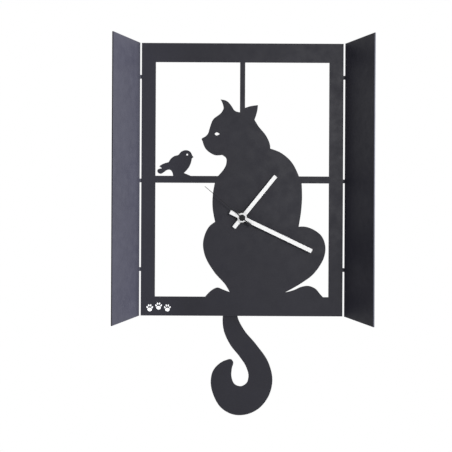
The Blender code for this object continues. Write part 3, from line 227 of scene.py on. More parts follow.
# The bird, from its tail side round the tail, back, head and breast to its legs
BIRD = [
    (-76.1, CROSSBAR_TOP, SHARP), (-77.0, 49.4), (-79.4, 52.0), (-82.8, 51.7), (-86.4, 49.2),
    (-89.8, 47.5), (-92.9, 49.0), (-93.4, 51.4), (-88.3, 53.6, SHARP), (-91.3, 55.8, SHARP),
    (-88.6, 57.7), (-81.0, 60.4, SHARP), (-78.3, 64.5), (-74.3, 67.3), (-70.6, 68.3),
    (-67.2, 72.0), (-62.2, 73.7), (-57.3, 72.0), (-55.1, 67.8, SHARP), (-53.6, 66.1, SHARP),
    (-55.5, 64.6, SHARP), (-56.3, 60.4), (-58.6, 55.0), (-64.2, 48.5, SHARP), (-61.5, 47.5),
    (-56.6, CROSSBAR_TOP, SHARP),
]
BIRD_EYE, BIRD_EYE_RADIUS = (-60.6, 68.8), 1.0

# The tail, from its stem down the inner side, round the curl to its tip, and back up the outer side
TAIL = [
    (-4.3, -58.5, SHARP), (-5.4, -72.0), (-14.9, -92.0), (-20.7, -111.0), (-19.5, -126.8),
    (-12.4, -142.5), (-1.1, -156.8), (5.6, -167.3), (8.3, -178.5), (6.4, -185.3), (-0.4, -189.2),
    (-7.1, -186.8), (-10.5, -179.0), (-10.3, -169.5), (-9.0, -161.5), (-11.0, -159.2),
    (-16.9, -160.1), (-25.5, -165.0), (-31.5, -172.5), (-33.8, -183.0), (-30.8, -198.8),
    (-21.4, -213.8), (-7.9, -220.8), (4.1, -220.9), (19.1, -214.5), (31.1, -199.5),
    (35.1, -182.5), (30.7, -162.8), (16.9, -142.5), (2.6, -125.3), (-4.1, -111.3),
    (-4.0, -98.0), (3.4, -74.0), (4.3, -58.5, SHARP),
]

# Paw prints on the bottom bar: place of each print, and of its toes from its pad
PAW_PLACES = [(-101.0, -100.2), (-91.3, -98.2), (-81.6, -100.2)]
PAW_TOES = [(-2.75, 0.9), (-1.05, 2.9), (1.05, 2.9), (2.75, 0.9)]
PAD_DROP, PAD_HALF_WIDTH, PAD_HALF_HEIGHT = 1.6, 2.5, 2.0
TOE_HALF_WIDTH, TOE_HALF_HEIGHT, TOE_SPLAY = 0.8, 1.2, 12
PRINT_THICKNESS = 0.05

# Floor, light and camera
FLOOR_LEVEL, FLOOR_HALF, FLOOR_THICKNESS, FLOOR_CORNER, FLOOR_EDGE = -900.0, 1500.0, 20.0, 100.0, 2.0
CAMERA_PLACE = (-16.0, -842.8, 35.5)
CAMERA_ROLL = math.radians(-0.28)
CAMERA_LENS = 59.37  # millimetres, on a 36 mm sensor
CAMERA_SHIFT = (-0.0035, -0.0906)


# Outlines

def smooth_outline(anchors, spacing=OUTLINE_SPACING):
    """Points along a curve through the anchors, open, with corners only at the sharp ones."""
    places = [Vector(anchor[:2]) for anchor in anchors]
    sharp = [len(anchor) > 2 for anchor in anchors]
    closed = not (sharp[0] and sharp[-1])
    count = len(places)

    def direction(i):
        """The curve's direction at a smooth anchor, from the chords either side of it."""
        before = places[i] - places[i - 1]
        after = places[(i + 1) % count] - places[i]
        blend = before.normalized() * after.length + after.normalized() * before.length
        return blend / (before.length + after.length)

    points = []
    for i in range(count if closed else count - 1):
        j = (i + 1) % count
        start, end = places[i], places[j]
        chord = end - start
        leaving = chord.normalized() if sharp[i] else direction(i)
        arriving = chord.normalized() if sharp[j] else direction(j)
        if sharp[i] and not sharp[j]:
            leaving = (3 * chord.normalized() - arriving) / 2
        if sharp[j] and not sharp[i]:
            arriving = (3 * chord.normalized() - leaving) / 2
        steps = 1 if sharp[i] and sharp[j] else max(2, round(chord.length / spacing))
        for step in range(steps):
            t = step / steps
            point = start * (2 * t**3 - 3 * t**2 + 1) + end * (3 * t**2 - 2 * t**3)
            point = point + leaving * chord.length * (t**3 - 2 * t**2 + t)
            points.append(point + arriving * chord.length * (t**3 - t**2))
    if not closed:
        points.append(places[-1])
    return [tuple(point) for point in points]


def arc(centre, radius, start, end, steps):
    """Points on an arc, from one angle to another in degrees, both ends among them."""
    turns = [math.radians(start + (end - start) * i / steps) for i in range(steps + 1)]
    return [(centre[0] + radius * math.cos(a), centre[1] + radius * math.sin(a)) for a in turns]


def place_on(centre, radius, degrees):
    """The point of a circle at an angle from +X."""
    return arc(centre, radius, degrees, degrees, 1)[0]


def circle(centre, radius, sides=48):
    return arc(centre, radius, 0, 360, sides)[:-1]


def ellipse(centre, half_width, half_height, turn=0.0, sides=20):
    tilt = Matrix.Rotation(math.radians(turn), 2)
    points = [tilt @ Vector((half_width * x, half_height * z)) for x, z in circle((0, 0), 1, sides)]
    return [(centre[0] + point.x, centre[1] + point.y) for point in points]


def rounded_box(x0, x1, z0, z1, radius, steps=8):
    corners = [(x1 - radius, z1 - radius), (x0 + radius, z1 - radius),
               (x0 + radius, z0 + radius), (x1 - radius, z0 + radius)]
    points = []
    for quarter, corner in enumerate(corners):
        points += arc(corner, radius, 90 * quarter, 90 * quarter + 90, steps)
    return points


def plus_outline(centre, reach, half):
    """A plus sign: how far its arms reach, and half their width."""
    arm = [(half, -half), (reach, -half), (reach, half)]
    points = [(x, z) for x, z in arm]
    for _ in range(3):
        arm = [(-z, x) for x, z in arm]
        points += arm
    return [(centre[0] + x, centre[1] + z) for x, z in points]


def toothed_circle(centre, teeth, root, tip):
    points = []
    for tooth in range(teeth):
        for radius, share in ((root, -0.5), (tip, -0.2), (tip, 0.2), (root, 0.5)):
            angle = 2 * math.pi * (tooth + share / 2) / teeth
            points.append((centre[0] + radius * math.cos(angle), centre[1] + radius * math.sin(angle)))
    return points


def facing(points, outer):
    """The loop in the order that has material on its left: anticlockwise outside, clockwise in a hole."""
    area = sum(a[0] * b[1] - b[0] * a[1] for a, b in zip(points, points[1:] + points[:1]))
    return points if (area > 0) == outer else points[::-1]


def inset_loop(points, inset):
    """The loop moved to its left, with mitred corners."""
    moved = []
    count = len(points)
    for i in range(count):
        before, here, after = (Vector(points[j % count]) for j in (i - 1, i, i + 1))
        arriving, leaving = (here - before).normalized(), (after - here).normalized()
        normals = Vector((-arriving.y, arriving.x)), Vector((-leaving.y, leaving.x))
        mitre = (normals[0] + normals[1]) / max(1 + normals[0].dot(normals[1]), 0.2)
        moved.append(here + mitre * inset)
    return moved


# Meshes, made in millimetres

def shade(bm):
    """Smooth shading, with real corners and the borders of flat faces left sharp."""
    bm.normal_update()
    for face in bm.faces:
        face.smooth = True
    for edge in bm.edges:
        if len(edge.link_faces) != 2:
            continue
        bend = edge.calc_face_angle(0.0)
        flat = [abs(face.normal.y) > 0.9999 for face in edge.link_faces]
        edge.smooth = bend < SHARP_BEND and flat[0] == flat[1]
    return bm


def rounding(level, side, radius):
    """A face's rounded edge, from the face outwards: level, inset and wear. The body lies to its side."""
    entries = []
    for step in range(ARC_STEPS + 1):
        angle = math.pi / 2 * step / ARC_STEPS
        depth, inset = radius * (1 - math.cos(angle)), radius * (1 - math.sin(angle))
        worn = 1.0 if 0 < step < ARC_STEPS else 0.0
        entries.append((level + side * depth, inset, worn))
    return entries


def loft(loops, profiles):
    """A solid with flat ends. Each loop follows its own profile, and the first loop is the outer one."""
    bm = bmesh.new()
    wear = bm.verts.layers.float.new(WEAR)
    ends = ([], [])
    for i, (loop, profile) in enumerate(zip(loops, profiles)):
        points = facing(loop, i == 0)
        rings = []
        for level, inset, worn in profile:
            ring = [bm.verts.new((x, level, z)) for x, z in inset_loop(points, inset)]
            for vert in ring:
                vert[wear] = worn
            rings.append(ring)
        for lower, upper in zip(rings, rings[1:]):
            for j in range(len(lower)):
                bm.faces.new((lower[j - 1], lower[j], upper[j], upper[j - 1]))
        for end, ring in zip(ends, (rings[0], rings[-1])):
            end += [bm.edges.get((ring[j - 1], ring[j])) for j in range(len(ring))]
    for edges in ends:
        bmesh.ops.triangle_fill(bm, use_beauty=True, use_dissolve=False, edges=edges)
    bmesh.ops.recalc_face_normals(bm, faces=bm.faces)
    return shade(bm)


def plate(loops, front, back, radius):
    """A flat plate between two levels of Y, with rounded edges. The loops after the first are holes."""
    profile = rounding(front, 1, radius) + rounding(back, -1, radius)[::-1]
    return loft(loops, [profile] * len(loops))


def turned(profile, centre=(0, 0), sides=48, shape=None):
    """A solid turned about an axis along Y, from a closed line of (radius, Y).

    shape, where given, says how far the solid may reach at each angle.
    """
    bm = bmesh.new()
    bm.verts.layers.float.new(WEAR)
    rings = []
    for radius, y in profile:
        if radius == 0:
            rings.append([bm.verts.new((centre[0], y, centre[1]))] * sides)
            continue
        ring = []
        for i in range(sides):
            angle = 2 * math.pi * i / sides
            reach = min(radius, shape(angle)) if shape else radius
            place = (centre[0] + reach * math.cos(angle), y, centre[1] + reach * math.sin(angle))
            ring.append(bm.verts.new(place))
        rings.append(ring)
    for lower, upper in zip(rings, rings[1:] + rings[:1]):
        if lower[0] is lower[1] and upper[0] is upper[1]:
            continue
        for i in range(sides):
            j = (i + 1) % sides
            bm.faces.new(list(dict.fromkeys([lower[i], lower[j], upper[j], upper[i]])))
    bmesh.ops.recalc_face_normals(bm, faces=bm.faces)
    return shade(bm)


def rod(centre, radius, front, back, sides=32):
    return turned([(0, front), (radius, front), (radius, back), (0, back)], centre, sides)


def merged(*meshes):
    """One mesh that holds all of these."""
    whole = bmesh.new()
    whole.verts.layers.float.new(WEAR)
    for bm in meshes:
        held = bpy.data.meshes.new("held")
        bm.to_mesh(held)
        bm.free()
        whole.from_mesh(held)
        bpy.data.meshes.remove(held)
    return whole


def moved(bm, matrix):
    bmesh.ops.transform(bm, matrix=matrix, verts=bm.verts)
    return bm


def scratch_object(bm):
    mesh = bpy.data.meshes.new("scratch")
    bm.to_mesh(mesh)
    bm.free()
    obj = bpy.data.objects.new("scratch", mesh)
    bpy.context.scene.collection.objects.link(obj)
    return obj


def carved(bm, cutter, tangled=False):
    """The mesh with the cutter taken away. tangled is for a mesh of solids that run into each other."""
    target, tool = scratch_object(bm), scratch_object(cutter)
    modifier = target.modifiers.new("carve", "BOOLEAN")
    modifier.operation = "DIFFERENCE"
    modifier.solver = "EXACT"
    modifier.use_self = tangled
    modifier.object = tool
    seen = target.evaluated_get(bpy.context.evaluated_depsgraph_get())
    made = bmesh.new()
    made.from_mesh(seen.to_mesh())
    seen.to_mesh_clear()
    for obj in (target, tool):
        mesh = obj.data
        bpy.data.objects.remove(obj)
        bpy.data.meshes.remove(mesh)
    return shade(made)


def add_mesh(name, bm, look):
    """The finished object, in metres."""
    moved(bm, Matrix.Scale(MM, 4))
    mesh = bpy.data.meshes.new(name)
    bm.to_mesh(mesh)
    bm.free()
    mesh.materials.append(look)
    obj = bpy.data.objects.new(name, mesh)
    bpy.context.scene.collection.objects.link(obj)
    return obj


def add_piece(name, bm, looks, slot, body, *replaced):
    """A piece of the clock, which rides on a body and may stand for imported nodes."""
    obj = add_mesh(name, bm, looks[slot])
    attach(obj, body)
    if replaced:
        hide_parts(*replaced)
    return obj


# Materials

def new_look(name, colour, roughness, metallic=0.0, specular=0.5):
    """A material, its node tree and its shader. The numbers stay where nothing varies them."""
    look = bpy.data.materials.new(name)
    look.use_nodes = True
    shader = look.node_tree.nodes["Principled BSDF"]
    shader.inputs["Base Color"].default_value = (*colour, 1.0)
    shader.inputs["Roughness"].default_value = roughness
    shader.inputs["Metallic"].default_value = metallic
    shader.inputs["Specular IOR Level"].default_value = specular
    return look, look.node_tree, shader


def lay_on(tree, node):
    """The node reads the piece's own coordinates."""
    place = tree.nodes.new("ShaderNodeTexCoord")
    tree.links.new(place.outputs["Object"], node.inputs["Vector"])


def grain(tree, size, detail=3.0, stretch=(1, 1, 1)):
    """Noise with features of about that size in millimetres, drawn out along an axis where stretched."""
    mapping = tree.nodes.new("ShaderNodeMapping")
    mapping.inputs["Scale"].default_value = [1 / factor for factor in stretch]
    noise = tree.nodes.new("ShaderNodeTexNoise")
    noise.inputs["Scale"].default_value = 1 / (size * MM)
    noise.inputs["Detail"].default_value = detail
    lay_on(tree, mapping)
    tree.links.new(mapping.outputs["Vector"], noise.inputs["Vector"])
    return noise.outputs["Fac"]


def ranged(tree, value, low, high, start=0.3, end=0.7):
    """The value stretched from start..end to low..high."""
    node = tree.nodes.new("ShaderNodeMapRange")
    node.inputs["From Min"].default_value = start
    node.inputs["From Max"].default_value = end
    node.inputs["To Min"].default_value = low
    node.inputs["To Max"].default_value = high
    tree.links.new(value, node.inputs["Value"])
    return node.outputs["Result"]


def mixed(tree, share, first, second):
    """A colour between two, each a colour or a socket."""
    node = tree.nodes.new("ShaderNodeMix")
    node.data_type = "RGBA"
    tree.links.new(share, node.inputs["Factor"])
    for socket, colour in zip((node.inputs[6], node.inputs[7]), (first, second)):
        if isinstance(colour, tuple):
            socket.default_value = (*colour, 1.0)
        else:
            tree.links.new(colour, socket)
    return node.outputs[2]


def product(tree, first, second):
    node = tree.nodes.new("ShaderNodeMath")
    node.operation = "MULTIPLY"
    for socket, value in zip(node.inputs, (first, second)):
        tree.links.new(value, socket)
    return node.outputs["Value"]


def worn_edges(tree, size=0.6):
    """How worn a place is: patchy along the rounded edges and nothing elsewhere."""
    edge = tree.nodes.new("ShaderNodeAttribute")
    edge.attribute_name = WEAR
    rubbed = ranged(tree, grain(tree, size, 4.0), 0.0, 1.0, 0.45, 0.7)
    return product(tree, edge.outputs["Fac"], rubbed)


def patches(tree, size, detail=3.0):
    """Clouds of about that size, from 0 to 1."""
    return ranged(tree, grain(tree, size, detail), 0.0, 1.0)


def dress(tree, shader, colour, roughness, relief):
    """Feeds the shader. The relief is (noise value, height in millimetres) layers, one on another."""
    tree.links.new(colour, shader.inputs["Base Color"])
    tree.links.new(roughness, shader.inputs["Roughness"])
    normal = None
    for value, height in relief:
        bump = tree.nodes.new("ShaderNodeBump")
        bump.inputs["Distance"].default_value = height * MM
        tree.links.new(value, bump.inputs["Height"])
        if normal:
            tree.links.new(normal, bump.inputs["Normal"])
        normal = bump.outputs["Normal"]
    tree.links.new(normal, shader.inputs["Normal"])


def powder_coat():
    """Fine-textured charcoal powder coat on steel sheet, a little paler where its edges wear."""
    look, tree, shader = new_look("charcoal_powder_coat", (0.0135, 0.0131, 0.0205), 0.5, specular=0.3)
    coat = mixed(tree, patches(tree, 45.0, 2.0), (0.0125, 0.0121, 0.019), (0.0145, 0.0141, 0.022))
    specks = ranged(tree, grain(tree, 0.5, 1.0), 0.0, 0.35, 0.52, 0.7)
    speckled = mixed(tree, specks, coat, (0.03, 0.03, 0.04))
    worn = mixed(tree, worn_edges(tree), speckled, (0.075, 0.075, 0.08))
    rough = ranged(tree, grain(tree, 9.0), 0.46, 0.58)
    dress(tree, shader, worn, rough, [(grain(tree, 0.45, 2.0), 0.028), (grain(tree, 2.6, 1.0), 0.012)])
    return look


def moulded_plastic(name, colour, pale, roughness):
    """Spark-eroded moulded plastic."""
    look, tree, shader = new_look(name, colour, roughness, specular=0.45)
    tone = mixed(tree, patches(tree, 12.0), colour, pale)
    worn = mixed(tree, worn_edges(tree, 1.5), tone, tuple(min(1.0, c * 1.6 + 0.02) for c in pale))
    rough = ranged(tree, grain(tree, 3.0), roughness - 0.07, roughness + 0.07)
    dress(tree, shader, worn, rough, [(grain(tree, 0.22, 2.0), 0.012)])
    return look


def bare_metal(name, colour, dull, roughness, stretch=(1, 1, 1)):
    """Metal with fine lines from rolling or turning, and duller patches."""
    look, tree, shader = new_look(name, colour, roughness, 1.0)
    tone = mixed(tree, patches(tree, 5.0, 4.0), colour, dull)
    lines = grain(tree, 0.12, 2.0, stretch)
    rough = ranged(tree, lines, roughness - 0.08, roughness + 0.12)
    dress(tree, shader, tone, rough, [(lines, 0.004)])
    return look


def lacquer(name, colour, shadow, roughness, shine=0.5):
    """Smooth lacquer on punched aluminium, with a trace of orange peel."""
    look, tree, shader = new_look(name, colour, roughness, specular=shine)
    shader.inputs["Coat Weight"].default_value = 0.08
    shader.inputs["Coat Roughness"].default_value = 0.25
    tone = mixed(tree, patches(tree, 7.0), colour, shadow)
    worn = mixed(tree, worn_edges(tree, 0.8), tone, tuple(c * 0.8 for c in shadow))
    rough = ranged(tree, grain(tree, 2.0), roughness - 0.06, roughness + 0.08)
    dress(tree, shader, worn, rough, [(grain(tree, 0.8, 1.0), 0.004)])
    return look


def soft_rubber():
    look, tree, shader = new_look("rubber", (0.018, 0.018, 0.018), 0.8)
    tone = mixed(tree, patches(tree, 2.5), (0.014, 0.014, 0.014), (0.03, 0.029, 0.028))
    rough = ranged(tree, grain(tree, 1.2), 0.72, 0.9)
    dress(tree, shader, tone, rough, [(grain(tree, 0.3), 0.02)])
    return look


def battery_jacket():
    """Shrunk plastic film with a pale band by the positive end, a thin line, and faint wrinkles."""
    look, tree, shader = new_look("battery_jacket", (0.03, 0.09, 0.22), 0.3)
    cream = (0.62, 0.6, 0.55)
    axes = tree.nodes.new("ShaderNodeSeparateXYZ")
    lay_on(tree, axes)
    along = axes.outputs["X"]
    film = mixed(tree, patches(tree, 6.0), (0.028, 0.085, 0.2), (0.036, 0.105, 0.25))
    band = ranged(tree, along, 0.0, 1.0, *(x * MM for x in JACKET_BAND))
    (left, left_end), (right, right_end) = JACKET_LINE
    thin_line = product(tree, ranged(tree, along, 0.0, 1.0, left * MM, left_end * MM),
                        ranged(tree, along, 1.0, 0.0, right * MM, right_end * MM))
    printed = mixed(tree, thin_line, mixed(tree, band, film, cream), cream)
    rough = ranged(tree, grain(tree, 3.0), 0.24, 0.38)
    dress(tree, shader, printed, rough, [(grain(tree, 3.5, 2.0, (6, 1, 1)), 0.05)])
    return look


def circuit_green():
    """Solder mask with paler copper tracks under it."""
    look, tree, shader = new_look("circuit_green", (0.02, 0.13, 0.05), 0.35)
    tracks = tree.nodes.new("ShaderNodeTexBrick")
    turn = tree.nodes.new("ShaderNodeMapping")
    turn.inputs["Rotation"].default_value = (math.pi / 2, 0, 0)
    lay_on(tree, turn)
    tracks.inputs["Scale"].default_value = 1 / (9 * MM)
    tracks.inputs["Mortar Size"].default_value = 0.03
    tree.links.new(turn.outputs["Vector"], tracks.inputs["Vector"])
    tone = mixed(tree, tracks.outputs["Fac"], (0.016, 0.11, 0.045), (0.06, 0.24, 0.1))
    rough = ranged(tree, grain(tree, 4.0), 0.28, 0.42)
    dress(tree, shader, tone, rough, [(tracks.outputs["Fac"], 0.03), (grain(tree, 0.4), 0.01)])
    return look


def enamelled_wire(name, along_axis):
    """Fine copper wire wound side by side; along_axis is the bobbin's axis, where the turns repeat."""
    look, tree, shader = new_look(name, (0.45, 0.16, 0.06), 0.3, 1.0)
    turns = tree.nodes.new("ShaderNodeTexWave")
    turns.bands_direction = along_axis
    turns.inputs["Scale"].default_value = 1 / (3.2 * MM)
    turns.inputs["Distortion"].default_value = 0.6
    lay_on(tree, turns)
    tone = mixed(tree, turns.outputs["Fac"], (0.2, 0.06, 0.025), (0.62, 0.25, 0.1))
    rough = ranged(tree, grain(tree, 1.5), 0.22, 0.4)
    dress(tree, shader, tone, rough, [(turns.outputs["Fac"], 0.06)])
    return look


def painted_floor():
    look, tree, shader = new_look("pale_floor", (0.8, 0.8, 0.8), 0.7)
    tone = mixed(tree, patches(tree, 300.0), (0.78, 0.78, 0.78), (0.83, 0.83, 0.825))
    rough = ranged(tree, grain(tree, 40.0), 0.62, 0.78)
    dress(tree, shader, tone, rough, [(grain(tree, 6.0), 0.1)])
    return look


def make_looks():
    return {
        "sheet": powder_coat(),
        "case_plastic": moulded_plastic("black_plastic", (0.016, 0.016, 0.017), (0.024, 0.024, 0.025), 0.5),
        "wheel_plastic": moulded_plastic("natural_acetal", (0.62, 0.6, 0.53), (0.72, 0.7, 0.64), 0.42),
        "chip": moulded_plastic("chip_resin", (0.012, 0.012, 0.012), (0.02, 0.02, 0.02), 0.6),
        "steel": bare_metal("zinc_plated_steel", (0.56, 0.57, 0.58), (0.42, 0.43, 0.45), 0.3, (9, 1, 1)),
        "brass": bare_metal("brass", (0.72, 0.5, 0.2), (0.55, 0.37, 0.14), 0.28),
        "black_steel": bare_metal("black_oxide_steel", (0.035, 0.035, 0.037), (0.06, 0.058, 0.056), 0.42),
        "magnet": bare_metal("sintered_magnet", (0.16, 0.16, 0.17), (0.1, 0.1, 0.11), 0.5),
        "rubber": soft_rubber(),
        "battery_jacket": battery_jacket(),
        "board": circuit_green(),
        "copper": enamelled_wire("coil_wire", "X"),
        "drive_copper": enamelled_wire("drive_coil_wire", "Y"),
        "hand_white": lacquer("white_lacquer", (0.93, 0.93, 0.93), (0.9, 0.9, 0.9), 0.4),
        "hand_grey": lacquer("dark_grey_lacquer", (0.011, 0.011, 0.014), (0.015, 0.015, 0.018), 0.6, 0.25),
        "cap_black": lacquer("black_lacquer", (0.006, 0.006, 0.007), (0.009, 0.009, 0.01), 0.55, 0.2),
    }


# Window and shutters

def panel_edge():
    """The frame's outer edge, with its share of each bend tab."""
    reach = SHUTTER_AXIS + TAB_REACH
    right = [(PANEL_HALF_WIDTH, PANEL_BOTTOM)]
    for level in sorted(TAB_LEVELS):
        low, high = level - TAB_HEIGHT / 2, level + TAB_HEIGHT / 2
        right += [(PANEL_HALF_WIDTH, low), (reach, low), (reach, high), (PANEL_HALF_WIDTH, high)]
    right.append((PANEL_HALF_WIDTH, PANEL_TOP))
    return right + [(-x, z) for x, z in reversed(right)]


def panes():
    """The four openings, each bounded by bars and by the cat or the bird."""
    side = LIGHT_HALF_WIDTH
    upper_left = [(-side, LIGHT_TOP), (-MUNTIN_HALF, LIGHT_TOP)] + smooth_outline(CAT_FACE)
    upper_left += smooth_outline(BIRD)[::-1] + [(-side, CROSSBAR_TOP)]
    upper_right = [(side, CROSSBAR_TOP), (side, LIGHT_TOP), (MUNTIN_HALF, LIGHT_TOP)]
    upper_right += smooth_outline(CAT_BACK)
    lower_left = [(-side, CROSSBAR_BOTTOM)] + smooth_outline(CAT_CHEST) + [(-side, LIGHT_BOTTOM)]
    lower_right = [(side, CROSSBAR_BOTTOM)] + smooth_outline(CAT_HAUNCH) + [(side, LIGHT_BOTTOM)]
    return [upper_left, upper_right, lower_left, lower_right]


def window_sheet(looks):
    eyes = [smooth_outline(CAT_EYE, 0.4), circle(BIRD_EYE, BIRD_EYE_RADIUS, 24)]
    loops = [panel_edge()] + panes() + eyes + [circle((0, 0), PANEL_HOLE)]
    bm = plate(loops, PANEL_FRONT, PANEL_BACK, SHEET_EDGE)
    add_piece("window_sheet", bm, looks, "sheet", "clock", "window_panel")


def paw_prints(looks):
    """A short trail of printed paws on the bottom bar."""
    marks = []
    for x, z in PAW_PLACES:
        marks.append(ellipse((x, z - PAD_DROP), PAD_HALF_WIDTH, PAD_HALF_HEIGHT))
        for across, up in PAW_TOES:
            toe = (x + across, z + up)
            marks.append(ellipse(toe, TOE_HALF_WIDTH, TOE_HALF_HEIGHT, -across * TOE_SPLAY))
    front = PANEL_FRONT - PRINT_THICKNESS
    prints = [plate([mark], front, PANEL_FRONT + PRINT_THICKNESS, PRINT_THICKNESS / 3) for mark in marks]
    add_piece("paw_prints", merged(*prints), looks, "hand_white", "clock")


def shutter_sheet(side, looks):
    """side is -1 on the left and 1 on the right. It is made flat, then turned about its bend line."""
    near, far = SLOT / 2, SLOT / 2 + SHUTTER_WIDTH
    outline = [(near, PANEL_BOTTOM), (far, PANEL_BOTTOM), (far, PANEL_TOP), (near, PANEL_TOP)]
    for level in sorted(TAB_LEVELS, reverse=True):
        low, high = level - TAB_HEIGHT / 2, level + TAB_HEIGHT / 2
        outline += [(near, high), (-TAB_REACH, high), (-TAB_REACH, low), (near, low)]
    bm = plate([[(side * x, z) for x, z in outline]], -SHEET / 2, SHEET / 2, SHEET_EDGE)
    place = Matrix.Translation((side * SHUTTER_AXIS, PANEL_MIDDLE, 0))
    moved(bm, place @ Matrix.Rotation(-side * SHUTTER_FOLD, 4, "Z"))
    name = "left_shutter" if side < 0 else "right_shutter"
    add_piece(f"{name}_sheet", bm, looks, "sheet", name, name)


def bent_strip(side):
    """A bend tab seen from above: X, and how far it stands in front of the panel's middle."""
    half = SHEET / 2 - TAB_SLACK
    bend = -TAB_REACH / math.tan(SHUTTER_FOLD / 2)
    start = SHUTTER_AXIS + TAB_REACH
    stations = [((start - TAB_SUNK, 0.0), 0.0)]
    for i in range(TAB_STEPS + 1):
        angle = SHUTTER_FOLD * i / TAB_STEPS
        stations.append(((start + bend * math.sin(angle), bend * (1 - math.cos(angle))), angle))
    (x, out), angle = stations[-1]
    stations.append(((x + TAB_SUNK * math.cos(angle), out + TAB_SUNK * math.sin(angle)), angle))
    sides = []
    for sign in (-1, 1):
        sides.append([(side * (x - sign * half * math.sin(angle)), out + sign * half * math.cos(angle))
                      for (x, out), angle in stations])
    return sides[0] + sides[1][::-1]


def bend_tabs(side, looks):
    name = "left_shutter" if side < 0 else "right_shutter"
    stand_up = Matrix.Rotation(math.radians(90), 4, "X")
    for number, level in enumerate(TAB_LEVELS, 1):
        half = TAB_HEIGHT / 2 - TAB_SLACK
        bm = plate([bent_strip(side)], level - half, level + half, SHEET_EDGE)
        moved(bm, Matrix.Translation((0, PANEL_MIDDLE, 0)) @ stand_up)
        tab = add_mesh(f"{name}_bend_tab_{number}", bm, looks["sheet"])
        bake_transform(tab)


# Movement case

def case_outline():
    return rounded_box(CASE_LOW.x, CASE_HIGH.x, CASE_LOW.z, CASE_HIGH.z, CASE_CORNER)


def tray(face, rim, edge, holes):
    """A shell with a rounded outer edge and a floor that the holes go through."""
    side = 1 if rim > face else -1
    inside = face + side * CASE_WALL
    shell = rounding(face, side, edge) + rounding(rim, -side, CASE_LIP)[::-1]
    shell += [(rim, CASE_WALL - CASE_LIP, 1.0), (rim - side * CASE_LIP, CASE_WALL, 0.0),
              (inside, CASE_WALL, 0.0)]
    hole = rounding(face, side, CASE_HOLE_EDGE) + [(inside, 0.0, 0.0)]
    return loft([case_outline()] + holes, [shell] + [hole] * len(holes))


def bay_ribs(front, back):
    """The two ribs that the battery lies between."""
    reach = CASE_HIGH.x - CASE_WALL / 2
    levels = ((BAY_BOTTOM - BAY_RIB, BAY_BOTTOM), (BAY_TOP, BAY_TOP + BAY_RIB))
    outlines = [rounded_box(-reach, reach, low, high, 0.3, 3) for low, high in levels]
    return [plate([outline], front, back, 0.1) for outline in outlines]


def arm_notch():
    """Cuts the slot in the case's underside that the pendulum arm swings in."""
    low, high = CASE_LOW.z - 5, CASE_LOW.z + CASE_WALL + 0.5
    outline = rounded_box(-NOTCH_HALF_WIDTH, NOTCH_HALF_WIDTH, low, high, 0.4)
    return plate([outline], NOTCH_FRONT, NOTCH_BACK, 0.2)


def wheel_places():
    """Where the wheels' axes stand: X, Z."""
    names = ("seconds", "third", "motion", "knob", "intermediate", "rotor")
    places = {name: joint(f"{name}_turn")["pos_m"] for name in names}
    return {name: (place[0] / MM, place[2] / MM) for name, place in places.items()}


def socket(place, outer, bore, rim, bottom, wall):
    """A blind bearing that stands on a wall."""
    line = [(0, wall), (outer, wall), (outer, rim), (bore, rim), (bore, bottom), (0, bottom)]
    return turned(line, place, 24)


def front_moulding(looks, places):
    wall = CASE_FRONT + CASE_WALL - BURIED
    top = CASE_FRONT_RIM - 0.1
    parts = [tray(CASE_FRONT, CASE_FRONT_RIM, CASE_EDGE, [circle((0, 0), PANEL_HOLE)])]
    parts += bay_ribs(wall, CASE_FRONT_RIM - 0.2)
    boss = [(0, wall), (BOSS_RADIUS, wall), (BOSS_RADIUS, top), (SCREW_BORE, top),
            (SCREW_BORE, BOSS_FLOOR), (0, BOSS_FLOOR)]
    parts += [turned(boss, place, 24) for place in SCREW_PLACES]
    parts += [rod(place, POST_RADIUS, wall, POST_BACK, 24) for place in POST_PLACES]
    parts += [socket(places[name], *size, wall) for name, size in FRONT_SOCKETS.items()]
    parts.append(rod(places["motion"], MOTION_PIN_RADIUS, wall, MOTION_PIN_BACK, 24))
    bm = carved(merged(*parts), arm_notch(), tangled=True)
    add_piece("front_moulding", bm, looks, "case_plastic", "clock", "front_case")


def back_marks(places):
    """Shallow marks: a plus, a minus, an arrow round the knob, a label field and two dimples."""
    depth, beyond = CASE_BACK - MARK_DEPTH, CASE_BACK + BEYOND
    centre = places["knob"]
    outer_arc = arc(centre, ARROW_OUTER, ARROW_START, ARROW_END, 20)
    inner_arc = arc(centre, ARROW_INNER, ARROW_END, ARROW_START, 20)
    head = [place_on(centre, ARROW_MIDDLE, ARROW_START - ARROW_HEAD_SWEEP),
            place_on(centre, ARROW_HEAD_OUTER, ARROW_START),
            place_on(centre, ARROW_HEAD_INNER, ARROW_START)]
    outlines = [plus_outline(PLUS_MARK, PLUS_REACH, PLUS_HALF_WIDTH), rounded_box(*MINUS_MARK, 0.2, 3),
                outer_arc + inner_arc, head, rounded_box(*LABEL_FIELD, 1.5)]
    marks = [plate([outline], depth, beyond, MARK_EDGE) for outline in outlines]
    marks += [rod(place, DIMPLE_RADIUS, CASE_BACK - DIMPLE_DEPTH, beyond, 24) for place in DIMPLE_PLACES]
    return merged(*marks)


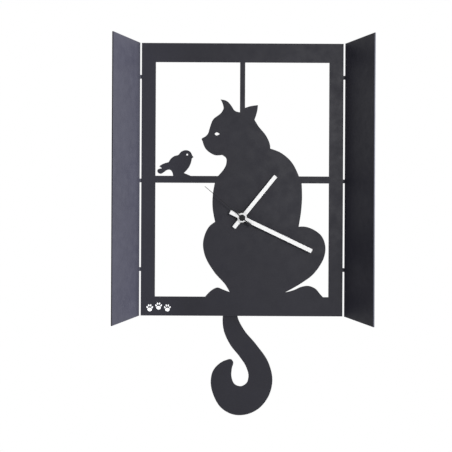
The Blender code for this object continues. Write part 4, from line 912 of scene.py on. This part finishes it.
def rear_moulding(looks, places):
    window = rounded_box(-BAY_WINDOW_HALF_WIDTH, BAY_WINDOW_HALF_WIDTH, BAY_BOTTOM + BAY_WINDOW_MARGIN,
                         BAY_TOP - BAY_WINDOW_MARGIN, BAY_WINDOW_CORNER)
    holes = [window, circle(places["knob"], KNOB_WINDOW_RADIUS)]
    holes += [circle(place, HEAD_HOLE_RADIUS, 32) for place in SCREW_PLACES]
    wall = CASE_BACK - CASE_WALL + BURIED
    bottom, top = CASE_REAR_RIM + 0.1, wall - 0.1
    parts = [tray(CASE_BACK, CASE_REAR_RIM, CASE_EDGE, holes)]
    parts += bay_ribs(CASE_REAR_RIM + 0.2, wall)
    sleeve = [(SCREW_BORE, bottom), (SLEEVE_RADIUS, bottom), (SLEEVE_RADIUS, top), (HEAD_WELL_RADIUS, top),
              (HEAD_WELL_RADIUS, HEAD_WELL_FLOOR), (SCREW_BORE, HEAD_WELL_FLOOR)]
    parts += [turned(sleeve, place, 32) for place in SCREW_PLACES]
    parts += [socket(places[name], *size, wall) for name, size in REAR_SOCKETS.items()]
    bm = carved(merged(*parts), merged(arm_notch(), back_marks(places)), tangled=True)
    add_piece("rear_moulding", bm, looks, "case_plastic", "clock", "rear_case")


def cross_head_screws(looks):
    """Pan heads with a cross recess, sunk in the back's four corners."""
    for number, place in enumerate(SCREW_PLACES, 1):
        low, high = span(f"case_screw_{number}")
        head, under = high.y, high.y - HEAD_HEIGHT
        line = [(radius, head - depth) for radius, depth in HEAD_DOME]
        line += [(HEAD_DOME[-1][0], under), (THREAD_RADIUS, under)]
        for turn in range(int((under - low.y - POINT_LENGTH) / THREAD_PITCH)):
            y = under - PLAIN_SHANK - turn * THREAD_PITCH
            line += [(THREAD_ROOT, y), (THREAD_RADIUS, y - THREAD_PITCH / 2)]
        line += [(TIP_RADIUS, low.y + TIP_HEIGHT), (0, low.y)]
        recess = plus_outline(place, RECESS_REACH, RECESS_HALF_WIDTH)
        bm = carved(turned(line, place, 32), plate([recess], head - RECESS_DEPTH, head + BEYOND, 0.1))
        add_piece(f"cross_head_screw_{number}", bm, looks, "steel", "clock", f"case_screw_{number}")


def hanger_loop(looks):
    """A strip bent up from the case's top into a loop with a round-topped eye."""
    low, high = span("wall_hanger")
    base, shoulder = low.z, high.z - HANGER_CORNER
    outline = [(low.x, base + HANGER_UPRIGHT_START), (high.x, base + HANGER_UPRIGHT_START)]
    outline += arc((high.x - HANGER_CORNER, shoulder), HANGER_CORNER, 0, 90, 10)
    outline += arc((low.x + HANGER_CORNER, shoulder), HANGER_CORNER, 90, 180, 10)
    half = HANGER_EYE_HALF_WIDTH
    eye = [(-half, base + HANGER_EYE_BOTTOM), (half, base + HANGER_EYE_BOTTOM)]
    eye += arc((0, base + HANGER_EYE_SHOULDER), half, 0, 180, 20)
    upright = plate([outline, eye], high.y - HANGER_THICKNESS, high.y, HANGER_EDGE)
    back, inner = HANGER_TUCK - high.y, HANGER_THICKNESS - high.y
    top, end = base + HANGER_THICKNESS, base + HANGER_FOOT_END
    foot = [(-low.y, base), (-low.y, top), (inner + HANGER_FILLET, top),
            (inner - HANGER_TUCK, top + HANGER_FILLET), (inner - HANGER_TUCK, end), (back, end)]
    bend_centre = (back + HANGER_BEND, base + HANGER_TUCK + HANGER_BEND)
    foot += arc(bend_centre, HANGER_BEND, 180, 270, 6)
    strip = plate([foot], low.x, high.x, HANGER_EDGE)
    moved(strip, Matrix.Rotation(math.radians(-90), 4, "Z"))
    add_piece("hanger_loop", merged(upright, strip), looks, "steel", "clock", "wall_hanger")


# Clamping of the panel, at the hands

def gasket_pad(looks):
    low, high = span("rubber_gasket")
    outline = rounded_box(low.x, high.x, low.z, high.z, GASKET_CORNER)
    bm = plate([outline, circle((0, 0), PANEL_HOLE)], low.y, high.y, 0.1)
    add_piece("gasket_pad", bm, looks, "rubber", "clock", "rubber_gasket")


def flat_washer(looks):
    low, high = span("clamp_washer")
    bm = plate([circle((0, 0), high.x), circle((0, 0), PANEL_HOLE)], low.y, high.y, 0.12)
    add_piece("flat_washer", bm, looks, "black_steel", "clock", "clamp_washer")


def chamfered_nut(looks):
    """A hexagon nut, turned to a cone at both ends."""
    low, high = span("hex_nut")
    flat = high.z
    corner = flat / math.cos(math.pi / 6)

    def hexagon(angle):
        return flat / math.cos((angle + math.pi / 2) % (math.pi / 3) - math.pi / 6)

    profile = []
    for face, side in ((low.y, 1), (high.y, -1)):
        half = [(PANEL_HOLE, face + side * NUT_LEAD), (PANEL_HOLE + NUT_LEAD, face),
                (flat - NUT_LAND, face), (corner, face + side * NUT_CHAMFER)]
        profile += half[::side]
    bm = turned(profile, sides=72, shape=hexagon)
    add_piece("chamfered_nut", bm, looks, "black_steel", "clock", "hex_nut")


def threaded_bushing(looks):
    """The threaded tube round the hands' arbors, with its flange inside the case."""
    low, high = span("threaded_bush")
    profile = [(BUSH_BORE, low.y), (BUSH_RADIUS - BUSH_LEAD, low.y)]
    for turn in range(BUSH_TURNS):
        start = low.y + BUSH_LEAD + turn * BUSH_PITCH
        profile += [(BUSH_RADIUS - depth, start + along) for depth, along in BUSH_THREAD]
    profile += [(BUSH_RADIUS, BUSH_SHOULDER), (BUSH_RADIUS, BUSH_FLANGE_FRONT),
                (BUSH_FLANGE_RADIUS, BUSH_FLANGE_FRONT), (BUSH_FLANGE_RADIUS, high.y), (BUSH_BORE, high.y)]
    add_piece("threaded_bushing", turned(profile), looks, "brass", "clock", "threaded_bush")


# Battery and knob

def battery_cell(looks):
    """An AA cell lying along X, with rounded shoulders and a crimped positive end."""
    low, high = span("battery")
    radius = (high.z - low.z) / 2
    end = high.x - CELL_BUTTON
    flat = radius - CELL_SHOULDER
    line = [(0, low.x + CELL_BASE_DEPTH), (CELL_BASE_RADIUS, low.x + CELL_BASE_DEPTH),
            (CELL_BASE_RADIUS + CELL_BASE_DEPTH, low.x), (flat, low.x)]
    line += arc((flat, low.x + CELL_SHOULDER), CELL_SHOULDER, -90, 0, 4)[1:]
    line += arc((flat, end - CELL_SHOULDER), CELL_SHOULDER, 0, 90, 4)
    line += [(CELL_CRIMP_OUTER, end), (CELL_CRIMP_OUTER - CELL_CRIMP_SLOPE, end - CELL_CRIMP_DEPTH),
             (CELL_CRIMP_INNER + CELL_EASE, end - CELL_CRIMP_DEPTH), (CELL_CRIMP_INNER, end)]
    line += [(CELL_BUTTON_RADIUS, high.x - CELL_EASE), (CELL_BUTTON_RADIUS - CELL_EASE, high.x),
             (0, high.x)]
    bm = turned(line, sides=64)
    moved(bm, Matrix.Translation((0, (low.y + high.y) / 2, (low.z + high.z) / 2))
          @ Matrix.Rotation(math.radians(-90), 4, "Z"))
    cell = add_piece("aa_cell", bm, looks, "battery_jacket", "clock", "battery")
    cell.data.materials.append(looks["steel"])
    for face in cell.data.polygons:
        if face.center.x > (end - CELL_CAP_DEPTH) * MM or face.center.x < (low.x + CELL_CAP_DEPTH) * MM:
            face.material_index = 1


def knurled_knob(looks, places):
    """The time-setting knob: a knurled grip in the back's recess, its shaft and its wheel."""
    x, z = centre = places["knob"]
    low, high = span("setting_knob")
    root, tip = (KNOB_MODULE * (KNOB_TEETH / 2 + reach) for reach in (-KNOB_DEDENDUM, KNOB_ADDENDUM))
    wheel = plate([toothed_circle(centre, KNOB_TEETH, root, tip)], KNOB_WHEEL_FRONT, KNOB_WHEEL_BACK, 0.05)
    shaft = rod(centre, KNOB_SHAFT_RADIUS, low.y, high.y - 0.8, 32)
    grip = toothed_circle(centre, KNOB_KNURLS, KNOB_GRIP_ROOT, KNOB_GRIP_TIP)
    slot = rounded_box(x - KNOB_SLOT_REACH, x + KNOB_SLOT_REACH, z - KNOB_SLOT_HALF_WIDTH,
                       z + KNOB_SLOT_HALF_WIDTH, KNOB_SLOT_CORNER, 4)
    under = high.y - KNOB_GRIP_DEPTH
    grip_profile = rounding(under, 1, 0.15) + rounding(high.y, -1, 0.25)[::-1]
    slot_profile = [(under, 0, 0), (high.y - KNOB_SLOT_DEPTH, 0, 0), (high.y, -KNOB_SLOT_DEPTH, 0)]
    dished = loft([grip, slot], [grip_profile, slot_profile])
    bm = merged(wheel, shaft, dished)
    add_piece("knurled_knob", bm, looks, "wheel_plastic", "knob", "setting_knob")


# Hands

def turned_to(points, clockwise_degrees):
    """Turns an outline that points along +X to an angle counted clockwise from twelve."""
    turn = Matrix.Rotation(math.radians(90 - clockwise_degrees), 2)
    return [tuple(turn @ Vector(point)) for point in points]


def hand_outline(hand):
    """A straight hand that points along +X: a hub disc, a blade and a tail, with slightly eased ends."""
    half = hand["width"] / 2
    join_angle = math.degrees(math.asin(half / HUB_RADIUS))
    upper = [(hand["length"], half - HAND_EASE), (hand["length"] - HAND_EASE, half)]
    upper += arc((0, 0), HUB_RADIUS, join_angle, 180 - join_angle, 24)
    upper += [(HAND_EASE - hand["tail"], half), (-hand["tail"], half - HAND_EASE)]
    return upper + [(x, -z) for x, z in reversed(upper)]


def white_hand(name, hand, angle, body, looks):
    low, high = span(hand["node"])
    loops = [turned_to(hand_outline(hand), angle), circle((0, 0), hand["bore"])]
    bm = plate(loops, low.y, high.y, HAND_EDGE)
    add_piece(name, bm, looks, "hand_white", body, hand["node"])


def second_needle(looks):
    """A needle with a broader tail that balances it, on a collar that the cap hides."""
    low, high = span("second_hand")
    front = low.y + 0.01
    outline = NEEDLE + [(x, -z) for x, z in reversed(NEEDLE)]
    blade = plate([turned_to(outline, SECOND_ANGLE)], front, front + NEEDLE_THICKNESS, NEEDLE_EDGE)
    face = front - 0.01
    collar = turned([(NEEDLE_ARBOR, face), (NEEDLE_COLLAR, face), (NEEDLE_COLLAR, high.y),
                     (NEEDLE_ARBOR, high.y)], sides=32)
    add_piece("second_needle", merged(blade, collar), looks, "hand_grey", "seconds", "second_hand")


def hub_cap(looks):
    """The seconds hand's cap: a low dome with a rounded rim."""
    low, high = span("second_cap")
    radius = high.x
    rim = low.y + CAP_RIM
    dome = [(0, high.y), (radius, high.y), (radius, rim)]
    dome += [(radius - CAP_ROUNDING + CAP_ROUNDING * math.cos(a), rim - CAP_ROUNDING_HEIGHT * math.sin(a))
             for a in (math.pi / 8 * i for i in range(1, 5))]
    dome += [(radius / 2, low.y + CAP_CROWN), (0, low.y)]
    add_piece("hub_cap", turned(dome), looks, "cap_black", "seconds", "second_cap")


# Pendulum

def tail_sheet(looks):
    low, high = span("cat_tail")
    bm = plate([smooth_outline(TAIL), circle((0, PEG_Z), TAIL_HOLE, 32)], low.y, high.y, SHEET_EDGE)
    add_piece("tail_sheet", bm, looks, "sheet", "pendulum", "cat_tail")


def arm_moulding(looks):
    """The flat arm that hangs from the pivot pin, with the peg that the tail hooks on."""
    half, foot_z = ARM_HALF_WIDTH, PEG_Z - ARM_FOOT
    right = [(half, PIVOT_Z - ARM_SHOULDER), (half, MAGNET_Z + ARM_BULGE_ABOVE),
             (ARM_BULGE, MAGNET_Z + ARM_BULGE_HALF_HEIGHT),
             (ARM_BULGE, MAGNET_Z - ARM_BULGE_HALF_HEIGHT),
             (half, MAGNET_Z - ARM_BULGE_BELOW), (half, foot_z)]
    outline = right + arc((0, foot_z), half, 360, 180, 12)[1:-1] + [(-x, z) for x, z in reversed(right)]
    outline += arc((0, PIVOT_Z), half, 180, 0, 12)[1:-1]
    blade = plate([outline, circle((0, PIVOT_Z), ARM_HUB_BORE, 24)], ARM_FRONT, ARM_BACK, 0.2)
    wide, narrow = ARM_HUB_RADIUS, ARM_HUB_RADIUS - ARM_HUB_EDGE
    hub = turned([
        (ARM_HUB_BORE, ARM_HUB_FRONT), (narrow, ARM_HUB_FRONT), (wide, ARM_HUB_FRONT + ARM_HUB_EDGE),
        (wide, ARM_HUB_BACK - ARM_HUB_EDGE), (narrow, ARM_HUB_BACK), (ARM_HUB_BORE, ARM_HUB_BACK),
    ], (0, PIVOT_Z), 32)
    root = ARM_BACK - PEG_ROOT
    peg = turned([
        (0, PEG_FRONT), (PEG_HEAD_RADIUS - PEG_EDGE, PEG_FRONT), (PEG_HEAD_RADIUS, PEG_FRONT + PEG_EDGE),
        (PEG_HEAD_RADIUS, PEG_SHOULDER - 0.1), (PEG_RADIUS, PEG_SHOULDER), (PEG_RADIUS, root), (0, root),
    ], (0, PEG_Z), 32)
    ridge = rounded_box(-SPINE_HALF_WIDTH, SPINE_HALF_WIDTH, PEG_Z - SPINE_BELOW,
                        MAGNET_Z + SPINE_ABOVE, 0.4, 3)
    spine = plate([ridge], ARM_BACK - SPINE_ROOT, ARM_BACK + SPINE_HEIGHT, 0.12)
    bm = merged(blade, hub, peg, spine)
    add_piece("arm_moulding", bm, looks, "case_plastic", "pendulum", "pendulum_arm")


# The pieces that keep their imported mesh

def dress_inner_nodes(looks):
    """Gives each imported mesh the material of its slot; the pieces made above hide theirs."""
    for part in frame["record"]["subparts"]:
        mesh = frame["nodes"][part["node"]].data
        mesh.materials.clear()
        mesh.materials.append(looks[part["material_slot"]])
    frame["nodes"]["drive_winding"].data.materials[0] = looks["drive_copper"]


# Floor, light and camera

def floor():
    outline = rounded_box(-FLOOR_HALF, FLOOR_HALF, -FLOOR_HALF, FLOOR_HALF, FLOOR_CORNER)
    slab = plate([outline], -FLOOR_LEVEL, FLOOR_THICKNESS - FLOOR_LEVEL, FLOOR_EDGE)
    moved(slab, Matrix.Rotation(math.radians(-90), 4, "X"))
    add_mesh("floor", slab, painted_floor())


def room_light(seen, cast):
    """A white room: how bright it looks, and how much light it gives."""
    world = bpy.data.worlds.new("room")
    bpy.context.scene.world = world
    world.use_nodes = True
    tree = world.node_tree
    backdrop = tree.nodes["Background"]
    backdrop.inputs["Strength"].default_value = seen
    backdrop.inputs["Color"].default_value = (1, 1, 1, 1)
    glow = tree.nodes.new("ShaderNodeBackground")
    glow.inputs["Color"].default_value = (1, 1, 1, 1)
    glow.inputs["Strength"].default_value = cast
    path = tree.nodes.new("ShaderNodeLightPath")
    mix = tree.nodes.new("ShaderNodeMixShader")
    tree.links.new(path.outputs["Is Camera Ray"], mix.inputs["Fac"])
    tree.links.new(glow.outputs["Background"], mix.inputs[1])
    tree.links.new(backdrop.outputs["Background"], mix.inputs[2])
    tree.links.new(mix.outputs["Shader"], tree.nodes["World Output"].inputs["Surface"])


def area_light(name, place, size, power, colour=(1, 1, 1), target=(0, 0, 30)):
    data = bpy.data.lights.new(name, "AREA")
    data.shape = "DISK"
    data.size = size * MM
    data.energy = power
    data.color = colour
    lamp = bpy.data.objects.new(name, data)
    lamp.location = Vector(place) * MM
    lamp.rotation_euler = (Vector(target) - Vector(place)).to_track_quat("-Z", "Y").to_euler()
    bpy.context.scene.collection.objects.link(lamp)
    return lamp


def keep_light_off(lamp, name):
    """A studio flag: the light doesn't reach this piece."""
    shaded = bpy.data.collections.new(f"{lamp.name}_flag")
    shaded.objects.link(bpy.data.objects[name])
    lamp.light_linking.receiver_collection = shaded
    shaded.collection_objects[0].light_linking.link_state = "EXCLUDE"


def camera():
    data = bpy.data.cameras.new("camera")
    data.sensor_width = 36
    data.lens = CAMERA_LENS
    data.shift_x, data.shift_y = CAMERA_SHIFT
    data.clip_start = 0.01
    eye = bpy.data.objects.new("camera", data)
    eye.location = Vector(CAMERA_PLACE) * MM
    eye.rotation_euler = (math.pi / 2, CAMERA_ROLL, 0)
    bpy.context.scene.collection.objects.link(eye)
    bpy.context.scene.camera = eye


def build():
    looks = make_looks()
    places = wheel_places()
    window_sheet(looks)
    paw_prints(looks)
    for side in (-1, 1):
        shutter_sheet(side, looks)
        bend_tabs(side, looks)
    front_moulding(looks, places)
    rear_moulding(looks, places)
    cross_head_screws(looks)
    hanger_loop(looks)
    gasket_pad(looks)
    flat_washer(looks)
    chamfered_nut(looks)
    threaded_bushing(looks)
    battery_cell(looks)
    knurled_knob(looks, places)
    white_hand("hour_blade", HOUR_HAND, HOUR_ANGLE, "hour", looks)
    white_hand("minute_blade", MINUTE_HAND, MINUTE_ANGLE, "minute", looks)
    second_needle(looks)
    hub_cap(looks)
    tail_sheet(looks)
    arm_moulding(looks)
    dress_inner_nodes(looks)

    floor()
    room_light(seen=1.0, cast=0.635)
    side_light = area_light("right_window", (900, -285, 100), 100, 40, (0.92, 0.94, 1.0))
    keep_light_off(side_light, "tail_sheet")
    area_light("front_window", (500, -1500, 200), 400, 8.5)
    camera()
    bpy.context.scene.view_settings.view_transform = "Standard"


build()
bpy.context.view_layer.update()
